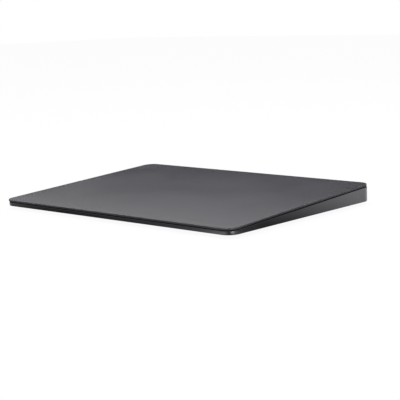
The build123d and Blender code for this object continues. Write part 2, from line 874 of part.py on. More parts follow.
# Adhesive ring between the cover and the housing
with BuildPart() as cover_adhesive:
    with BuildSketch(Plane.XY.offset(cover_top_z)):
        with Locations((0, housing_mid_y)):
            RectangleRounded(cover_width, cover_depth, recess_corner - cover_clearance)
            Rectangle(cover_width - 2 * seal_width, cover_depth - 2 * seal_width, mode=Mode.SUBTRACT)
    extrude(amount=bond_thickness)
cover_adhesive.part.label = "cover_adhesive"
export_step(cover_adhesive.part, "parts/cover_adhesive.step")

# Rubber feet
for name, place in foot_places.items():
    with BuildPart() as foot:
        with BuildSketch(Plane.XY):
            with Locations(place):
                Circle(foot_radius)
        extrude(amount=cover_z + foot_recess)
        fillet(foot.faces().sort_by(Axis.Z)[0].edges(), foot_edge_round)
    foot.part.label = name
    export_step(foot.part, f"parts/{name}.step")

# Battery: a pouch cell with a low terrace at its left end
with BuildPart() as battery_cell:
    with BuildSketch(Plane.XY.offset(battery_z)):
        with Locations((terrace_length / 2, battery_mid_y)):
            Rectangle(battery_length - terrace_length, battery_depth)
    extrude(amount=battery_height)
    fillet(battery_cell.edges().filter_by(Axis.X), battery_round)
    with BuildSketch(Plane.XY.offset(battery_z)):
        with Locations((battery_cable_x, battery_mid_y)):
            Rectangle(terrace_length, battery_depth - 2 * battery_round)
    extrude(amount=terrace_height)
battery_cell.part.label = "battery_cell"
export_step(battery_cell.part, "parts/battery_cell.step")

# Adhesive strips under the battery
with BuildPart() as battery_adhesive:
    with BuildSketch(Plane.XY.offset(floor_z)):
        with Locations((0, battery_mid_y)):
            with GridLocations(battery_length, battery_depth - 2 * battery_strip_inset, 1, 2):
                Rectangle(battery_length - 2 * battery_strip_inset, battery_strip_width)
    extrude(amount=battery_strip_thickness)
battery_adhesive.part.label = "battery_adhesive"
export_step(battery_adhesive.part, "parts/battery_adhesive.step")

# Protection board on the battery's terrace
cell_board_length = battery_depth - 2 * cell_board_inset
with BuildPart() as battery_board:
    with BuildSketch(Plane.XY.offset(cell_board_z)):
        with Locations((battery_cable_x, battery_mid_y)):
            Rectangle(cell_board_width, cell_board_length)
    extrude(amount=cell_board_height)
battery_board.part.label = "battery_board"
export_step(battery_board.part, "parts/battery_board.step")

# Main board
with BuildPart() as main_board:
    with BuildSketch(Plane.XY.offset(board_z)):
        with Locations((board_left_x + board_length / 2, board_mid_y)):
            RectangleRounded(board_length, board_depth, board_corner)
        with Locations(*board_screw_places):
            Circle(small_screw_radius + thread_clearance, mode=Mode.SUBTRACT)
    extrude(amount=board_thickness)
main_board.part.label = "main_board"
export_step(main_board.part, "parts/main_board.step")

# Screws of the main board
board_screws = screw_group(
    Plane.XY.offset(board_top_z),
    board_screw_places,
    small_screw_radius,
    small_screw_length,
    small_screw_head_radius,
    small_screw_head_height,
    small_screw_drive_radius,
)
board_screws.label = "board_screws"
export_step(board_screws, "parts/board_screws.step")

# Processor
with BuildPart() as processor_chip:
    with BuildSketch(Plane.XY.offset(board_top_z)):
        with Locations((board_left_x + processor_share * board_length, board_mid_y)):
            Rectangle(processor_length_share * board_length, processor_depth)
    extrude(amount=processor_height)
processor_chip.part.label = "processor_chip"
export_step(processor_chip.part, "parts/processor_chip.step")

# Voltage converter
converter_y = board_front_y + connector_inset + converter_depth / 2
with BuildPart() as converter_chip:
    with BuildSketch(Plane.XY.offset(board_top_z)):
        with Locations((board_left_x + converter_share * board_length, converter_y)):
            Rectangle(converter_length_share * board_length, converter_depth)
    extrude(amount=converter_height)
converter_chip.part.label = "converter_chip"
export_step(converter_chip.part, "parts/converter_chip.step")

# Sheet can over the radio
shield_x = board_left_x + shield_share * board_length
shield_length = shield_length_share * board_length
with BuildPart() as wireless_shield:
    with BuildSketch(Plane.XY.offset(board_top_z)):
        with Locations((shield_x, board_mid_y)):
            RectangleRounded(shield_length, shield_depth, shield_corner)
    extrude(amount=shield_height)
    with BuildSketch(Plane.XY.offset(board_top_z)):
        with Locations((shield_x, board_mid_y)):
            Rectangle(shield_length - 2 * shield_wall, shield_depth - 2 * shield_wall)
    extrude(amount=shield_height - shield_wall, mode=Mode.SUBTRACT)
wireless_shield.part.label = "wireless_shield"
export_step(wireless_shield.part, "parts/wireless_shield.step")

# Row of capacitors
with BuildPart() as board_capacitors:
    with BuildSketch(Plane.XY.offset(board_top_z)):
        with Locations((board_left_x + passive_share * board_length, board_screw_y)):
            with GridLocations(passive_pitch_share * board_length, passive_length, passive_count, 1):
                Rectangle(passive_width, passive_length)
    extrude(amount=passive_height)
board_capacitors.part.label = "board_capacitors"
export_step(board_capacitors.part, "parts/board_capacitors.step")

# Bent metal antenna
antenna_length = antenna_length_share * board_length
antenna_left_x = board_left_x + antenna_share * board_length - antenna_length / 2
antenna_foot_z = board_top_z + antenna_thickness / 2
antenna_arm_z = board_top_z + antenna_height - antenna_thickness / 2
with BuildPart() as antenna:
    with BuildSketch(Plane.XZ.offset(-board_screw_y)):
        with BuildLine():
            Polyline(
                (antenna_left_x + antenna_foot, antenna_foot_z),
                (antenna_left_x, antenna_foot_z),
                (antenna_left_x, antenna_arm_z),
                (antenna_left_x + antenna_length, antenna_arm_z),
            )
        trace(line_width=antenna_thickness)
    extrude(amount=antenna_width / 2, both=True)
antenna.part.label = "antenna"
export_step(antenna.part, "parts/antenna.step")

# Connectors on the main board
front_connector_xs = [
    gauge_cable_x,
    haptic_cable_x,
    battery_cable_x,
    rear_gauge_cable_x,
    right_connector_x,
]
with BuildPart() as board_connectors:
    with BuildSketch(Plane.XY.offset(board_top_z)):
        with Locations(*[(x, connector_y) for x in front_connector_xs]):
            Rectangle(connector_length, connector_depth)
        with Locations((right_connector_x, port_connector_y)):
            Rectangle(connector_length, connector_depth)
        with Locations((sensor_cable_x, sensor_connector_y)):
            Rectangle(plate_connector_length, plate_connector_depth)
    extrude(amount=connector_height)
board_connectors.part.label = "board_connectors"
export_step(board_connectors.part, "parts/board_connectors.step")

# Drawn shell of the charging receptacle
with BuildPart() as charging_port_shell:
    with BuildSketch(Plane.XZ.offset(-port_mouth_y)):
        with Locations((0, port_z)):
            SlotOverall(port_width, port_height)
            SlotOverall(port_inner_width, port_inner_height, mode=Mode.SUBTRACT)
    extrude(amount=port_length)
charging_port_shell.part.label = "charging_port_shell"
export_step(charging_port_shell.part, "parts/charging_port_shell.step")

# Moulded block with the receptacle's tongue and its solder tail
tail_z = connector_top_z + cable_thickness
with BuildPart() as charging_port_tongue:
    with BuildSketch(Plane.XZ.offset(-port_front_y)):
        with Locations((0, port_z)):
            SlotOverall(port_inner_width, port_inner_height)
    extrude(amount=-port_block_length)
    with BuildSketch(Plane.XZ.offset(-port_front_y)):
        with Locations((0, port_z)):
            Rectangle(port_tongue_width, port_tongue_height)
    extrude(amount=-port_block_length - port_tongue_length)
    with BuildSketch(Plane.XZ.offset(-port_front_y)):
        with Locations((0, tail_z + port_tail_height / 2)):
            Rectangle(port_tail_width, port_tail_height)
    extrude(amount=port_tail_length)
charging_port_tongue.part.label = "charging_port_tongue"
export_step(charging_port_tongue.part, "parts/charging_port_tongue.step")

# Contacts on both faces of the tongue
contact_tip_y = port_front_y + port_block_length + port_tongue_length - contact_inset
with BuildPart() as port_contacts:
    with BuildSketch(Plane.XZ.offset(-contact_tip_y)):
        with Locations((0, port_z)):
            with GridLocations(contact_pitch, port_tongue_height + contact_thickness, contact_count, 2):
                Rectangle(contact_width, contact_thickness)
    extrude(amount=contact_length)
port_contacts.part.label = "port_contacts"
export_step(port_contacts.part, "parts/port_contacts.step")

# Straps over the receptacle and the switch
port_bracket = strap_over(port_width, 0)
port_bracket.label = "port_bracket"
export_step(port_bracket, "parts/port_bracket.step")

switch_bracket = strap_over(switch_body_width, switch_offset)
switch_bracket.label = "switch_bracket"
export_step(switch_bracket, "parts/switch_bracket.step")

# Screws of the straps
strap_screws = screw_group(
    Plane.XY.offset(shelf_z + strap_thickness),
    strap_screw_places,
    small_screw_radius,
    small_screw_length,
    small_screw_head_radius,
    small_screw_head_height,
    small_screw_drive_radius,
)
strap_screws.label = "strap_screws"
export_step(strap_screws, "parts/strap_screws.step")

# Slide switch with a slot for the knob's stem
with BuildPart() as switch_body:
    with BuildSketch(Plane.XZ.offset(-switch_front_y)):
        with Locations((switch_offset, port_z)):
            RectangleRounded(switch_body_width, port_height, switch_body_corner)
    extrude(amount=-switch_body_depth)
    with BuildSketch(Plane.XZ.offset(-switch_rear_y)):
        with Locations((switch_offset, port_z)):
            Rectangle(stem_width + switch_travel + 2 * knob_clearance, stem_height + 2 * knob_clearance)
    extrude(amount=stem_engagement + knob_clearance, mode=Mode.SUBTRACT)
switch_body.part.label = "switch_body"
export_step(switch_body.part, "parts/switch_body.step")

# Sliding knob at the off end of its travel: a grooved face, a flange and a stem
knob_face_y = housing_rear_y - knob_recess
with BuildPart() as power_switch_knob:
    with BuildSketch(Plane.XZ.offset(-knob_face_y)):
        with Locations((knob_x, port_z)):
            RectangleRounded(knob_width, knob_height, knob_round)
    extrude(amount=knob_face_y - flange_rear_y)
    with BuildSketch(Plane.XZ.offset(-knob_face_y)):
        with Locations((knob_x, port_z)):
            with GridLocations(knob_groove_pitch, knob_height, knob_groove_count, 1):
                Rectangle(knob_groove_width, knob_height)
    extrude(amount=knob_groove_depth, mode=Mode.SUBTRACT)
    with BuildSketch(Plane.XZ.offset(-flange_rear_y)):
        with Locations((knob_x, port_z)):
            Rectangle(knob_width + 2 * (switch_travel + knob_flange_margin), knob_flange_height)
    extrude(amount=knob_flange_thickness)
    with BuildSketch(Plane.XZ.offset(-flange_front_y)):
        with Locations((knob_x, port_z)):
            Rectangle(stem_width, stem_height)
    extrude(amount=knob_clearance + stem_engagement)
power_switch_knob.part.label = "power_switch_knob"
export_step(power_switch_knob.part, "parts/power_switch_knob.step")

# Cable from the actuator, past the battery's left end to the main board
cable_foot_y = fence_rear_y + cable_thickness
haptic_cable_y = y_at(bracket_v, spine_under)
bracket_ramp_x = -bracket_end_x - cable_ramp
bracket_landing_z = height_at(haptic_cable_y + cable_width / 2, spine_under) + cable_thickness / 2
with BuildPart() as haptic_cable:
    add(
        cable_strip(
            [
                (bracket_ramp_x, haptic_cable_y),
                (haptic_cable_x, haptic_cable_y),
                (haptic_cable_x, cable_foot_y),
            ],
            cable_width,
        )
    )
    add(
        cable_run(
            Plane.XZ.offset(-haptic_cable_y),
            [
                (bracket_ramp_x - cable_landing, cable_z),
                (bracket_ramp_x, cable_z),
                (-bracket_end_x - cable_thickness, bracket_landing_z),
                (-bracket_end_x + cable_landing / 2, bracket_landing_z),
            ],
            cable_width,
        )
    )
    add(ramp_to_board(haptic_cable_x, cable_foot_y))
haptic_cable.part.label = "haptic_cable"
export_step(haptic_cable.part, "parts/haptic_cable.step")

# Cable that joins the front strain gauges and runs to the main board
front_beam_y = y_at(flexure_rows["front"] + flexure_root_width / 2, flexure_top)
front_landing_z = height_at(front_beam_y, flexure_top) + cable_lift + cable_thickness / 2
front_strip_y = y_at(flexure_rows["front"] + flexure_bar_length / 2, flexure_top) + front_cable_gap
with BuildPart() as front_gauge_cable:
    add(
        cable_strip(
            [
                (gauge_x + cable_width / 2, front_strip_y),
                (gauge_cable_x, front_strip_y),
                (gauge_cable_x, cable_foot_y),
            ],
            cable_width,
        )
    )
    add(ramp_to_board(gauge_cable_x, cable_foot_y))
    for side in hands.values():
        add(
            cable_run(
                Plane.YZ.offset(side * gauge_x),
                [
                    (front_strip_y, cable_z),
                    (front_beam_y + 2 * cable_ramp, cable_z),
                    (front_beam_y + cable_ramp, front_landing_z),
                    (front_beam_y - cable_landing, front_landing_z),
                ],
                cable_width,
            )
        )
front_gauge_cable.part.label = "front_gauge_cable"
export_step(front_gauge_cable.part, "parts/front_gauge_cable.step")

# Cable that joins the rear strain gauges
rear_beam_y = y_at(flexure_rows["rear"] + flexure_root_width / 2, flexure_top)
rear_landing_z = height_at(rear_beam_y, flexure_top) + cable_lift + cable_thickness / 2
rear_strip_y = (fence_rear_y + board_front_y) / 2
drop_y = rear_strip_y + cable_thickness
with BuildPart() as rear_gauge_cable:
    add(
        cable_strip(
            [
                (gauge_x + cable_width / 2, rear_strip_y),
                (-gauge_x - cable_width / 2, rear_strip_y),
            ],
            cable_width,
        )
    )
    for side in hands.values():
        add(
            cable_run(
                Plane.YZ.offset(side * gauge_x),
                [
                    (rear_beam_y - cable_landing, rear_landing_z),
                    (drop_y, rear_landing_z),
                    (drop_y, cable_z),
                ],
                cable_width,
            )
        )
    add(
        cable_run(
            Plane.YZ.offset(rear_gauge_cable_x),
            [
                (drop_y, cable_z),
                (drop_y, landing_z),
                (connector_y + connector_depth / 2, landing_z),
            ],
            cable_width,
        )
    )
rear_gauge_cable.part.label = "rear_gauge_cable"
export_step(rear_gauge_cable.part, "parts/rear_gauge_cable.step")

# Cable from the battery's protection board
cell_board_rear_y = battery_mid_y + cell_board_length / 2
battery_cable_z = cell_board_z + cell_board_height + cable_thickness / 2
battery_cable = cable_run(
    Plane.YZ.offset(battery_cable_x),
    [
        (cell_board_rear_y - cable_landing, battery_cable_z),
        (cell_board_rear_y + cable_ramp, battery_cable_z),
        (board_front_y - connector_inset, landing_z),
        (connector_y + connector_depth / 2, landing_z),
    ],
    battery_cable_width,
)
battery_cable.label = "battery_cable"
export_step(battery_cable, "parts/battery_cable.step")

# Cable from the charging receptacle's tail
with BuildPart() as port_cable:
    with BuildSketch(Plane.XY.offset(connector_top_z)):
        with BuildLine():
            Line(
                (right_connector_x - connector_length / 2, port_connector_y),
                (port_tail_width / 2, port_connector_y),
            )
        trace(line_width=cable_width)
    extrude(amount=cable_thickness)
port_cable.part.label = "port_cable"
export_step(port_cable.part, "parts/port_cable.step")

# Cable from the switch, along the floor to the main board
shelf_face_y = shelf_front_y - cable_bend
shelf_cable_z = shelf_z + cable_thickness / 2
with BuildPart() as switch_cable:
    add(
        cable_strip(
            [
                (board_right_x + cable_ramp, connector_y),
                (switch_offset, connector_y),
                (switch_offset, shelf_face_y),
            ],
            cable_width,
        )
    )
    add(
        cable_run(
            Plane.XZ.offset(-connector_y),
            [
                (board_right_x + cable_ramp + cable_landing, cable_z),
                (board_right_x + cable_ramp, cable_z),
                (board_right_x + cable_bend, landing_z),
                (right_connector_x - connector_length / 2, landing_z),
            ],
            cable_width,
        )
    )
    add(
        cable_run(
            Plane.YZ.offset(switch_offset),
            [
                (connector_y, cable_z),
                (shelf_face_y, cable_z),
                (shelf_face_y, shelf_cable_z),
                (switch_front_y, shelf_cable_z),
            ],
            cable_width,
        )
    )
switch_cable.part.label = "switch_cable"
export_step(switch_cable.part, "parts/switch_cable.step")

# Looped cable between the touch plate and the main board
loop_depth = sensor_board_under + plate_connector_height + cable_thickness / 2
loop_rear_y = sensor_connector_y + plate_connector_depth / 2
loop_front_y = sensor_connector_y - plate_connector_depth / 2 - sensor_loop_reach
loop_height = height_at(loop_front_y, loop_depth) - landing_z
with BuildPart() as sensor_cable:
    with BuildSketch(Plane.YZ.offset(sensor_cable_x)):
        with BuildLine():
            FilletPolyline(
                (loop_rear_y, height_at(loop_rear_y, loop_depth)),
                (loop_front_y, height_at(loop_front_y, loop_depth)),
                (loop_front_y, landing_z),
                (loop_rear_y, landing_z),
                radius=sensor_loop_share * loop_height,
            )
        trace(line_width=cable_thickness)
    extrude(amount=plate_connector_length / 2 - sensor_cable_margin, both=True)
sensor_cable.part.label = "sensor_cable"
export_step(sensor_cable.part, "parts/sensor_cable.step")
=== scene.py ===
import json
import math
import bmesh
import bpy
from mathutils import Matrix, Vector


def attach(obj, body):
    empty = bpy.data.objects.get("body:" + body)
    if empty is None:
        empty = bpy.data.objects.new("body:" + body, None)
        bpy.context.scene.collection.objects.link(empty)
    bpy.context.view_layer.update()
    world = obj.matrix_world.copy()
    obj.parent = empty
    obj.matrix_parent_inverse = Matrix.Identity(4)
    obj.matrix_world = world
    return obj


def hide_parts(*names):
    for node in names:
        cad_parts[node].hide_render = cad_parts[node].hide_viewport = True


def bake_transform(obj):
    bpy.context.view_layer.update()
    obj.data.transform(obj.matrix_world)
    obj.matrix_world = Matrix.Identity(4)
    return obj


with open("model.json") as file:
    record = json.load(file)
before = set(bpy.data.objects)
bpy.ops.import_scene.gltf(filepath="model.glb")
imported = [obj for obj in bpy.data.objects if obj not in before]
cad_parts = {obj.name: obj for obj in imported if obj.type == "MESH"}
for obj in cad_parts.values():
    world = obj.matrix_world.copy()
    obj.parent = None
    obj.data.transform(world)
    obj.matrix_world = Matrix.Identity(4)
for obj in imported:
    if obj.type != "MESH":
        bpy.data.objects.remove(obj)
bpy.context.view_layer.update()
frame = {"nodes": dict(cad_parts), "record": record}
nodes = frame["nodes"]
slotOf = {entry["node"]: entry["material_slot"] for entry in frame["record"]["subparts"]}
bodyOf = {node: body for body, members in frame["record"]["behaviour"]["bodies"].items() for node in members}
print("frame loaded:", len(nodes), "nodes")

# Node helpers


def openNodes(material):
    material.use_nodes = True
    return material.node_tree, material.node_tree.nodes["Principled BSDF"]


def combine(tree, operation, first, second):
    # a maths node on two values, each a number or a socket
    node = tree.nodes.new("ShaderNodeMath")
    node.operation = operation
    for socket, value in zip(node.inputs, (first, second)):
        if isinstance(value, (int, float)):
            socket.default_value = value
        else:
            tree.links.new(value, socket)
    return node.outputs[0]


# The sloping plate that much of the inside follows, by its slope and the middle of the glass's upper surface

plate = {"slope": math.atan2(6.0, 114.4), "middle": (0.0, -0.00025, 0.0079)}

# Modelling helpers

# near: metres within which two places count as one; nearMiddle: metres within which a face counts as the middle
# one; flatAngle: faces that meet at less are merged; smoothAngles: degrees up to which shading runs over an edge
near = 0.000001
nearMiddle = 0.0001
flatAngle = math.radians(1)
smoothAngles = {"sheet": 35, "block": 40, "wire": 50}
rightward, upward = Vector((1, 0, 0)), Vector((0, 0, 1))


def outOf(slope):
    # square to a surface that rises towards the rear
    return Vector((0, -math.sin(slope), math.cos(slope)))


def upThe(slope):
    # along that surface, towards the rear
    return Vector((0, math.cos(slope), math.sin(slope)))


def isAlong(line, way):
    return abs(line.dot(way)) > 0.9


def running(way):
    # picks the edges that run along a direction
    return lambda mid, along: isAlong(along, way)


def rimsAt(way, *levels):
    # picks the edges that lie flat at one of some levels along a direction
    isAt = lambda mid: min(abs(mid.dot(way) - level) for level in levels) < 2 * near
    return lambda mid, along: abs(along.dot(way)) < 0.1 and isAt(mid)


def looking(way):
    # picks the faces that look in a direction
    return lambda mid, normal: normal.dot(way) > 0.9


def lookingMid(way, middle):
    # picks the one of them in the middle of a piece
    isMiddle = lambda mid: max(abs(mid.x - middle.x), abs(mid.y - middle.y)) < nearMiddle
    return lambda mid, normal: normal.dot(way) > 0.9 and isMiddle(mid)


def deselectAll():
    if bpy.context.mode != "OBJECT":
        bpy.ops.object.mode_set(mode="OBJECT")
    bpy.ops.object.select_all(action="DESELECT")


def makeActive(piece):
    deselectAll()
    bpy.context.view_layer.objects.active = piece
    piece.select_set(True)


def startEdit(piece, mode="FACE"):
    makeActive(piece)
    bpy.ops.object.mode_set(mode="EDIT")
    bpy.ops.mesh.select_mode(type=mode)
    bpy.ops.mesh.select_all(action="DESELECT")


def addBlock(name, size, place, slope=0.0):
    deselectAll()
    bpy.ops.mesh.primitive_cube_add(size=1, location=place, rotation=(slope, 0, 0))
    piece = bpy.context.active_object
    piece.name = piece.data.name = name
    piece.scale = size
    bpy.ops.object.transform_apply(location=True, rotation=True, scale=True)
    return piece


def bevelEdges(piece, rounding, wanted):
    # rounding has the width and the segments; wanted is given an edge's middle and direction
    startEdit(piece, "EDGE")
    mesh = bmesh.from_edit_mesh(piece.data)
    for edge in mesh.edges:
        first, last = (v.co for v in edge.verts)
        edge.select_set(wanted((first + last) / 2, (last - first).normalized()))
    mesh.select_flush_mode()
    bmesh.update_edit_mesh(piece.data)
    bpy.ops.mesh.bevel(offset=rounding[0], segments=rounding[1], affect="EDGES", clamp_overlap=True)
    bpy.ops.object.mode_set(mode="OBJECT")


def smoothAs(piece, kind):
    makeActive(piece)
    bpy.ops.object.shade_smooth_by_angle(angle=math.radians(smoothAngles[kind]))
    even = piece.modifiers.new("even", "WEIGHTED_NORMAL")
    even.keep_sharp = True
    bpy.ops.object.modifier_apply(modifier="even")


def pickFaces(piece, wanted):
    # wanted is given a face's middle and normal
    mesh = bmesh.from_edit_mesh(piece.data)
    for face in mesh.faces:
        face.select_set(wanted(face.calc_center_median(), face.normal))
    bmesh.update_edit_mesh(piece.data)


def insetFaces(piece, width, wanted):
    startEdit(piece)
    pickFaces(piece, wanted)
    bpy.ops.mesh.inset(thickness=width, depth=0)
    bpy.ops.object.mode_set(mode="OBJECT")


def extrudeFaces(piece, shift, wanted):
    startEdit(piece)
    pickFaces(piece, wanted)
    bpy.ops.mesh.extrude_region_move(TRANSFORM_OT_translate={"value": shift})
    bpy.ops.object.mode_set(mode="OBJECT")


def paintFaces(piece, material, wanted):
    piece.data.materials.append(material)
    number = len(piece.data.materials) - 1
    for face in piece.data.polygons:
        if wanted(face.center, face.normal):
            face.material_index = number


def cutWith(piece, cutter):
    makeActive(piece)
    cut = piece.modifiers.new("cut", "BOOLEAN")
    cut.operation = "DIFFERENCE"
    cut.solver = "EXACT"
    cut.object = cutter
    bpy.ops.object.modifier_apply(modifier="cut")
    bpy.data.objects.remove(cutter, do_unlink=True)


def repeatAlong(piece, count, step):
    makeActive(piece)
    row = piece.modifiers.new("row", "ARRAY")
    row.use_relative_offset = False
    row.use_constant_offset = True
    row.constant_offset_displace = step
    row.count = count
    bpy.ops.object.modifier_apply(modifier="row")


def copyTo(piece, name, shift):
    makeActive(piece)
    bpy.ops.object.duplicate(linked=False)
    copied = bpy.context.active_object
    copied.name = copied.data.name = name
    copied.location = shift
    bpy.ops.object.transform_apply(location=True, rotation=True, scale=True)
    return copied


def joinAs(name, pieces):
    deselectAll()
    for piece in pieces:
        piece.select_set(True)
    bpy.context.view_layer.objects.active = pieces[0]
    bpy.ops.object.join()
    pieces[0].name = pieces[0].data.name = name
    return pieces[0]


def wear(piece, material):
    piece.data.materials.clear()
    piece.data.materials.append(material)


def solidBoxes(node):
    # lowest and highest corner of each separate solid of a node, from left to right and front to rear,
    # in order of tenths of a millimetre
    mesh = bmesh.new()
    mesh.from_mesh(nodes[node].data)
    bmesh.ops.remove_doubles(mesh, verts=mesh.verts, dist=near)
    left = set(mesh.verts)
    boxes = []
    while left:
        reached = [left.pop()]
        corners = []
        while reached:
            vert = reached.pop()
            corners.append(vert.co.copy())
            for edge in vert.link_edges:
                other = edge.other_vert(vert)
                if other in left:
                    left.remove(other)
                    reached.append(other)
        ends = [[pick(corner[axis] for corner in corners) for axis in range(3)] for pick in (min, max)]
        boxes.append([Vector(end) for end in ends])
    mesh.free()
    return sorted(boxes, key=lambda ends: (round(ends[0].x, 4), round(ends[0].y, 4)))


def middleOf(ends):
    return (ends[0] + ends[1]) / 2


def standsFor(piece, *members):
    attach(piece, bodyOf[members[0]])
    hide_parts(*members)


def bendsFor(piece, start, end, *members):
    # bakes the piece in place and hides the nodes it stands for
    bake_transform(piece)
    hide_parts(*members)


def copyOfNode(name, node):
    # the node's own shape with its loose triangles merged, to be worked further
    deselectAll()
    piece = bpy.data.objects.new(name, nodes[node].data.copy())
    bpy.context.scene.collection.objects.link(piece)
    startEdit(piece)
    bpy.ops.mesh.select_all(action="SELECT")
    bpy.ops.mesh.customdata_custom_splitnormals_clear()
    bpy.ops.mesh.remove_doubles(threshold=near)
    bpy.ops.mesh.dissolve_limited(angle_limit=flatAngle)
    bpy.ops.object.mode_set(mode="OBJECT")
    return piece


def bisectAt(piece, place, way):
    startEdit(piece)
    bpy.ops.mesh.select_all(action="SELECT")
    bpy.ops.mesh.bisect(plane_co=place, plane_no=way)
    bpy.ops.object.mode_set(mode="OBJECT")


def divideAcross(piece, first, last, count):
    # cuts square to X, so that the piece bends smoothly
    for number in range(count + 1):
        bisectAt(piece, (first + (last - first) * number / count, 0, 0), rightward)


# Camera and studio

# in metres and degrees, apart from sensor and lens in millimetres
camera = {"location": (0.4083, -0.4453, 0.1026), "yaw": 41.76, "pitch": 9.37, "roll": -1.79,
          "sensor": 36, "lens": 103.44, "clipStart": 0.01}


def setCamera():
    data = bpy.data.cameras.new("camera")
    data.sensor_width = camera["sensor"]
    data.lens = camera["lens"]
    data.clip_start = camera["clipStart"]
    item = bpy.data.objects.new("camera", data)
    bpy.context.scene.collection.objects.link(item)
    turn = Matrix.Rotation(math.radians(camera["yaw"]), 4, "Z")
    turn = turn @ Matrix.Rotation(math.radians(90 - camera["pitch"]), 4, "X")
    turn = turn @ Matrix.Rotation(math.radians(camera["roll"]), 4, "Z")
    item.matrix_world = Matrix.Translation(camera["location"]) @ turn
    bpy.context.scene.camera = item


lamps = {
    "overhead": {"size": (1.2, 1.2), "place": (0.0, 0.0, 1.1), "aim": (0, 0, 0), "power": 10.0},
    "cornerLamp": {"size": (0.012, 0.012), "place": (0.0985, -0.0645, 0.0006), "aim": (0.0985, -0.0645, 1),
                   "power": 0.0145},
}
studio = {"floorSize": 6.0, "floorDrop": 0.0001, "floorColour": 0.95, "floorRoughness": 0.9,
          "shadowShare": 0.06, "worldLevel": 0.55}


def addLamp(name, size, place, aim, power):
    data = bpy.data.lights.new(name, "AREA")
    data.shape = "RECTANGLE"
    data.size, data.size_y = size
    data.energy = power
    item = bpy.data.objects.new(name, data)
    bpy.context.scene.collection.objects.link(item)
    item.location = place
    item.rotation_euler = (Vector(aim) - Vector(place)).to_track_quat("-Z", "Y").to_euler()
    item.visible_camera = False


def addBackgroundShare(tree):
    # 1 where the camera, a reflection or clear glass sees the background
    path = tree.nodes.new("ShaderNodeLightPath")
    seen = path.outputs["Is Camera Ray"]
    for output in ("Is Glossy Ray", "Is Transmission Ray"):
        seen = combine(tree, "MAXIMUM", seen, path.outputs[output])
    return seen


def addWorld():
    bpy.context.scene.view_settings.view_transform = "Standard"
    world = bpy.data.worlds.new("studio")
    bpy.context.scene.world = world
    world.use_nodes = True
    tree = world.node_tree
    background = tree.nodes["Background"]
    background.inputs["Color"].default_value = (1, 1, 1, 1)
    level = tree.nodes.new("ShaderNodeMapRange")
    level.inputs["To Min"].default_value = studio["worldLevel"]
    tree.links.new(addBackgroundShare(tree), level.inputs["Value"])
    tree.links.new(level.outputs["Result"], background.inputs["Strength"])


def addFloor():
    deselectAll()
    bpy.ops.mesh.primitive_plane_add(size=studio["floorSize"], location=(0, 0, -studio["floorDrop"]))
    floor = bpy.context.active_object
    floor.name = "floor"
    material = bpy.data.materials.new("whiteSweep")
    tree, shader = openNodes(material)
    grey = studio["floorColour"]
    shader.inputs["Base Color"].default_value = (grey, grey, grey, 1)
    shader.inputs["Roughness"].default_value = studio["floorRoughness"]
    glow = tree.nodes.new("ShaderNodeEmission")
    mix = tree.nodes.new("ShaderNodeMixShader")
    share = combine(tree, "MULTIPLY", addBackgroundShare(tree), 1 - studio["shadowShare"])
    tree.links.new(share, mix.inputs["Fac"])
    tree.links.new(shader.outputs[0], mix.inputs[1])
    tree.links.new(glow.outputs[0], mix.inputs[2])
    tree.links.new(mix.outputs[0], tree.nodes["Material Output"].inputs["Surface"])
    floor.data.materials.append(material)


# Cards that only reflections show. levels: places along the side that runs with the axis, and the glow there;
# places are in the frame for the cards on the desk, and from the card's middle for the standing ones.
cards = {
    "rearLeftCard": {"size": (2.8, 0.9), "place": (-0.554, 0.577, 0.25), "turn": (90, 0, 43.8), "axis": "X",
                     "levels": [(-1.0, 0.0), (1.0, 0.0)]},
    "rearLeftGlow": {"size": (1.7, 0.8), "place": (-0.5505, 0.5734, 0.25), "turn": (90, -11.7, 43.8), "axis": "Y",
                     "levels": [(-0.02, 0.0), (0.01, 0.57), (0.035, 2.65), (0.06, 1.76), (0.09, 0.0)]},
    "frontDeskCard": {"size": (0.46, 0.24), "place": (0.03, -0.178, 0.0002), "turn": (0, 0, 0), "axis": "X",
                      "levels": [(-0.2, 1.4), (-0.115, 1.4), (-0.093, 1.2), (-0.07, 0.25), (-0.04, 0.15),
                                 (-0.015, 0.3), (0.015, 0.5), (0.045, 0.8), (0.057, 1.2), (0.066, 2.5),
                                 (0.076, 2.5), (0.082, 0.3), (0.22, 0.2)]},
    "rightDeskCard": {"size": (0.18, 0.26), "place": (0.17, 0.072, 0.0002), "turn": (0, 0, 0), "axis": "Y",
                      "levels": [(-0.058, 2.0), (-0.05, 1.6), (-0.04, 0.5), (-0.025, 0.25), (-0.01, 0.36),
                                 (0.01, 0.75), (0.04, 1.48), (0.07, 2.15), (0.13, 2.6)]},
}


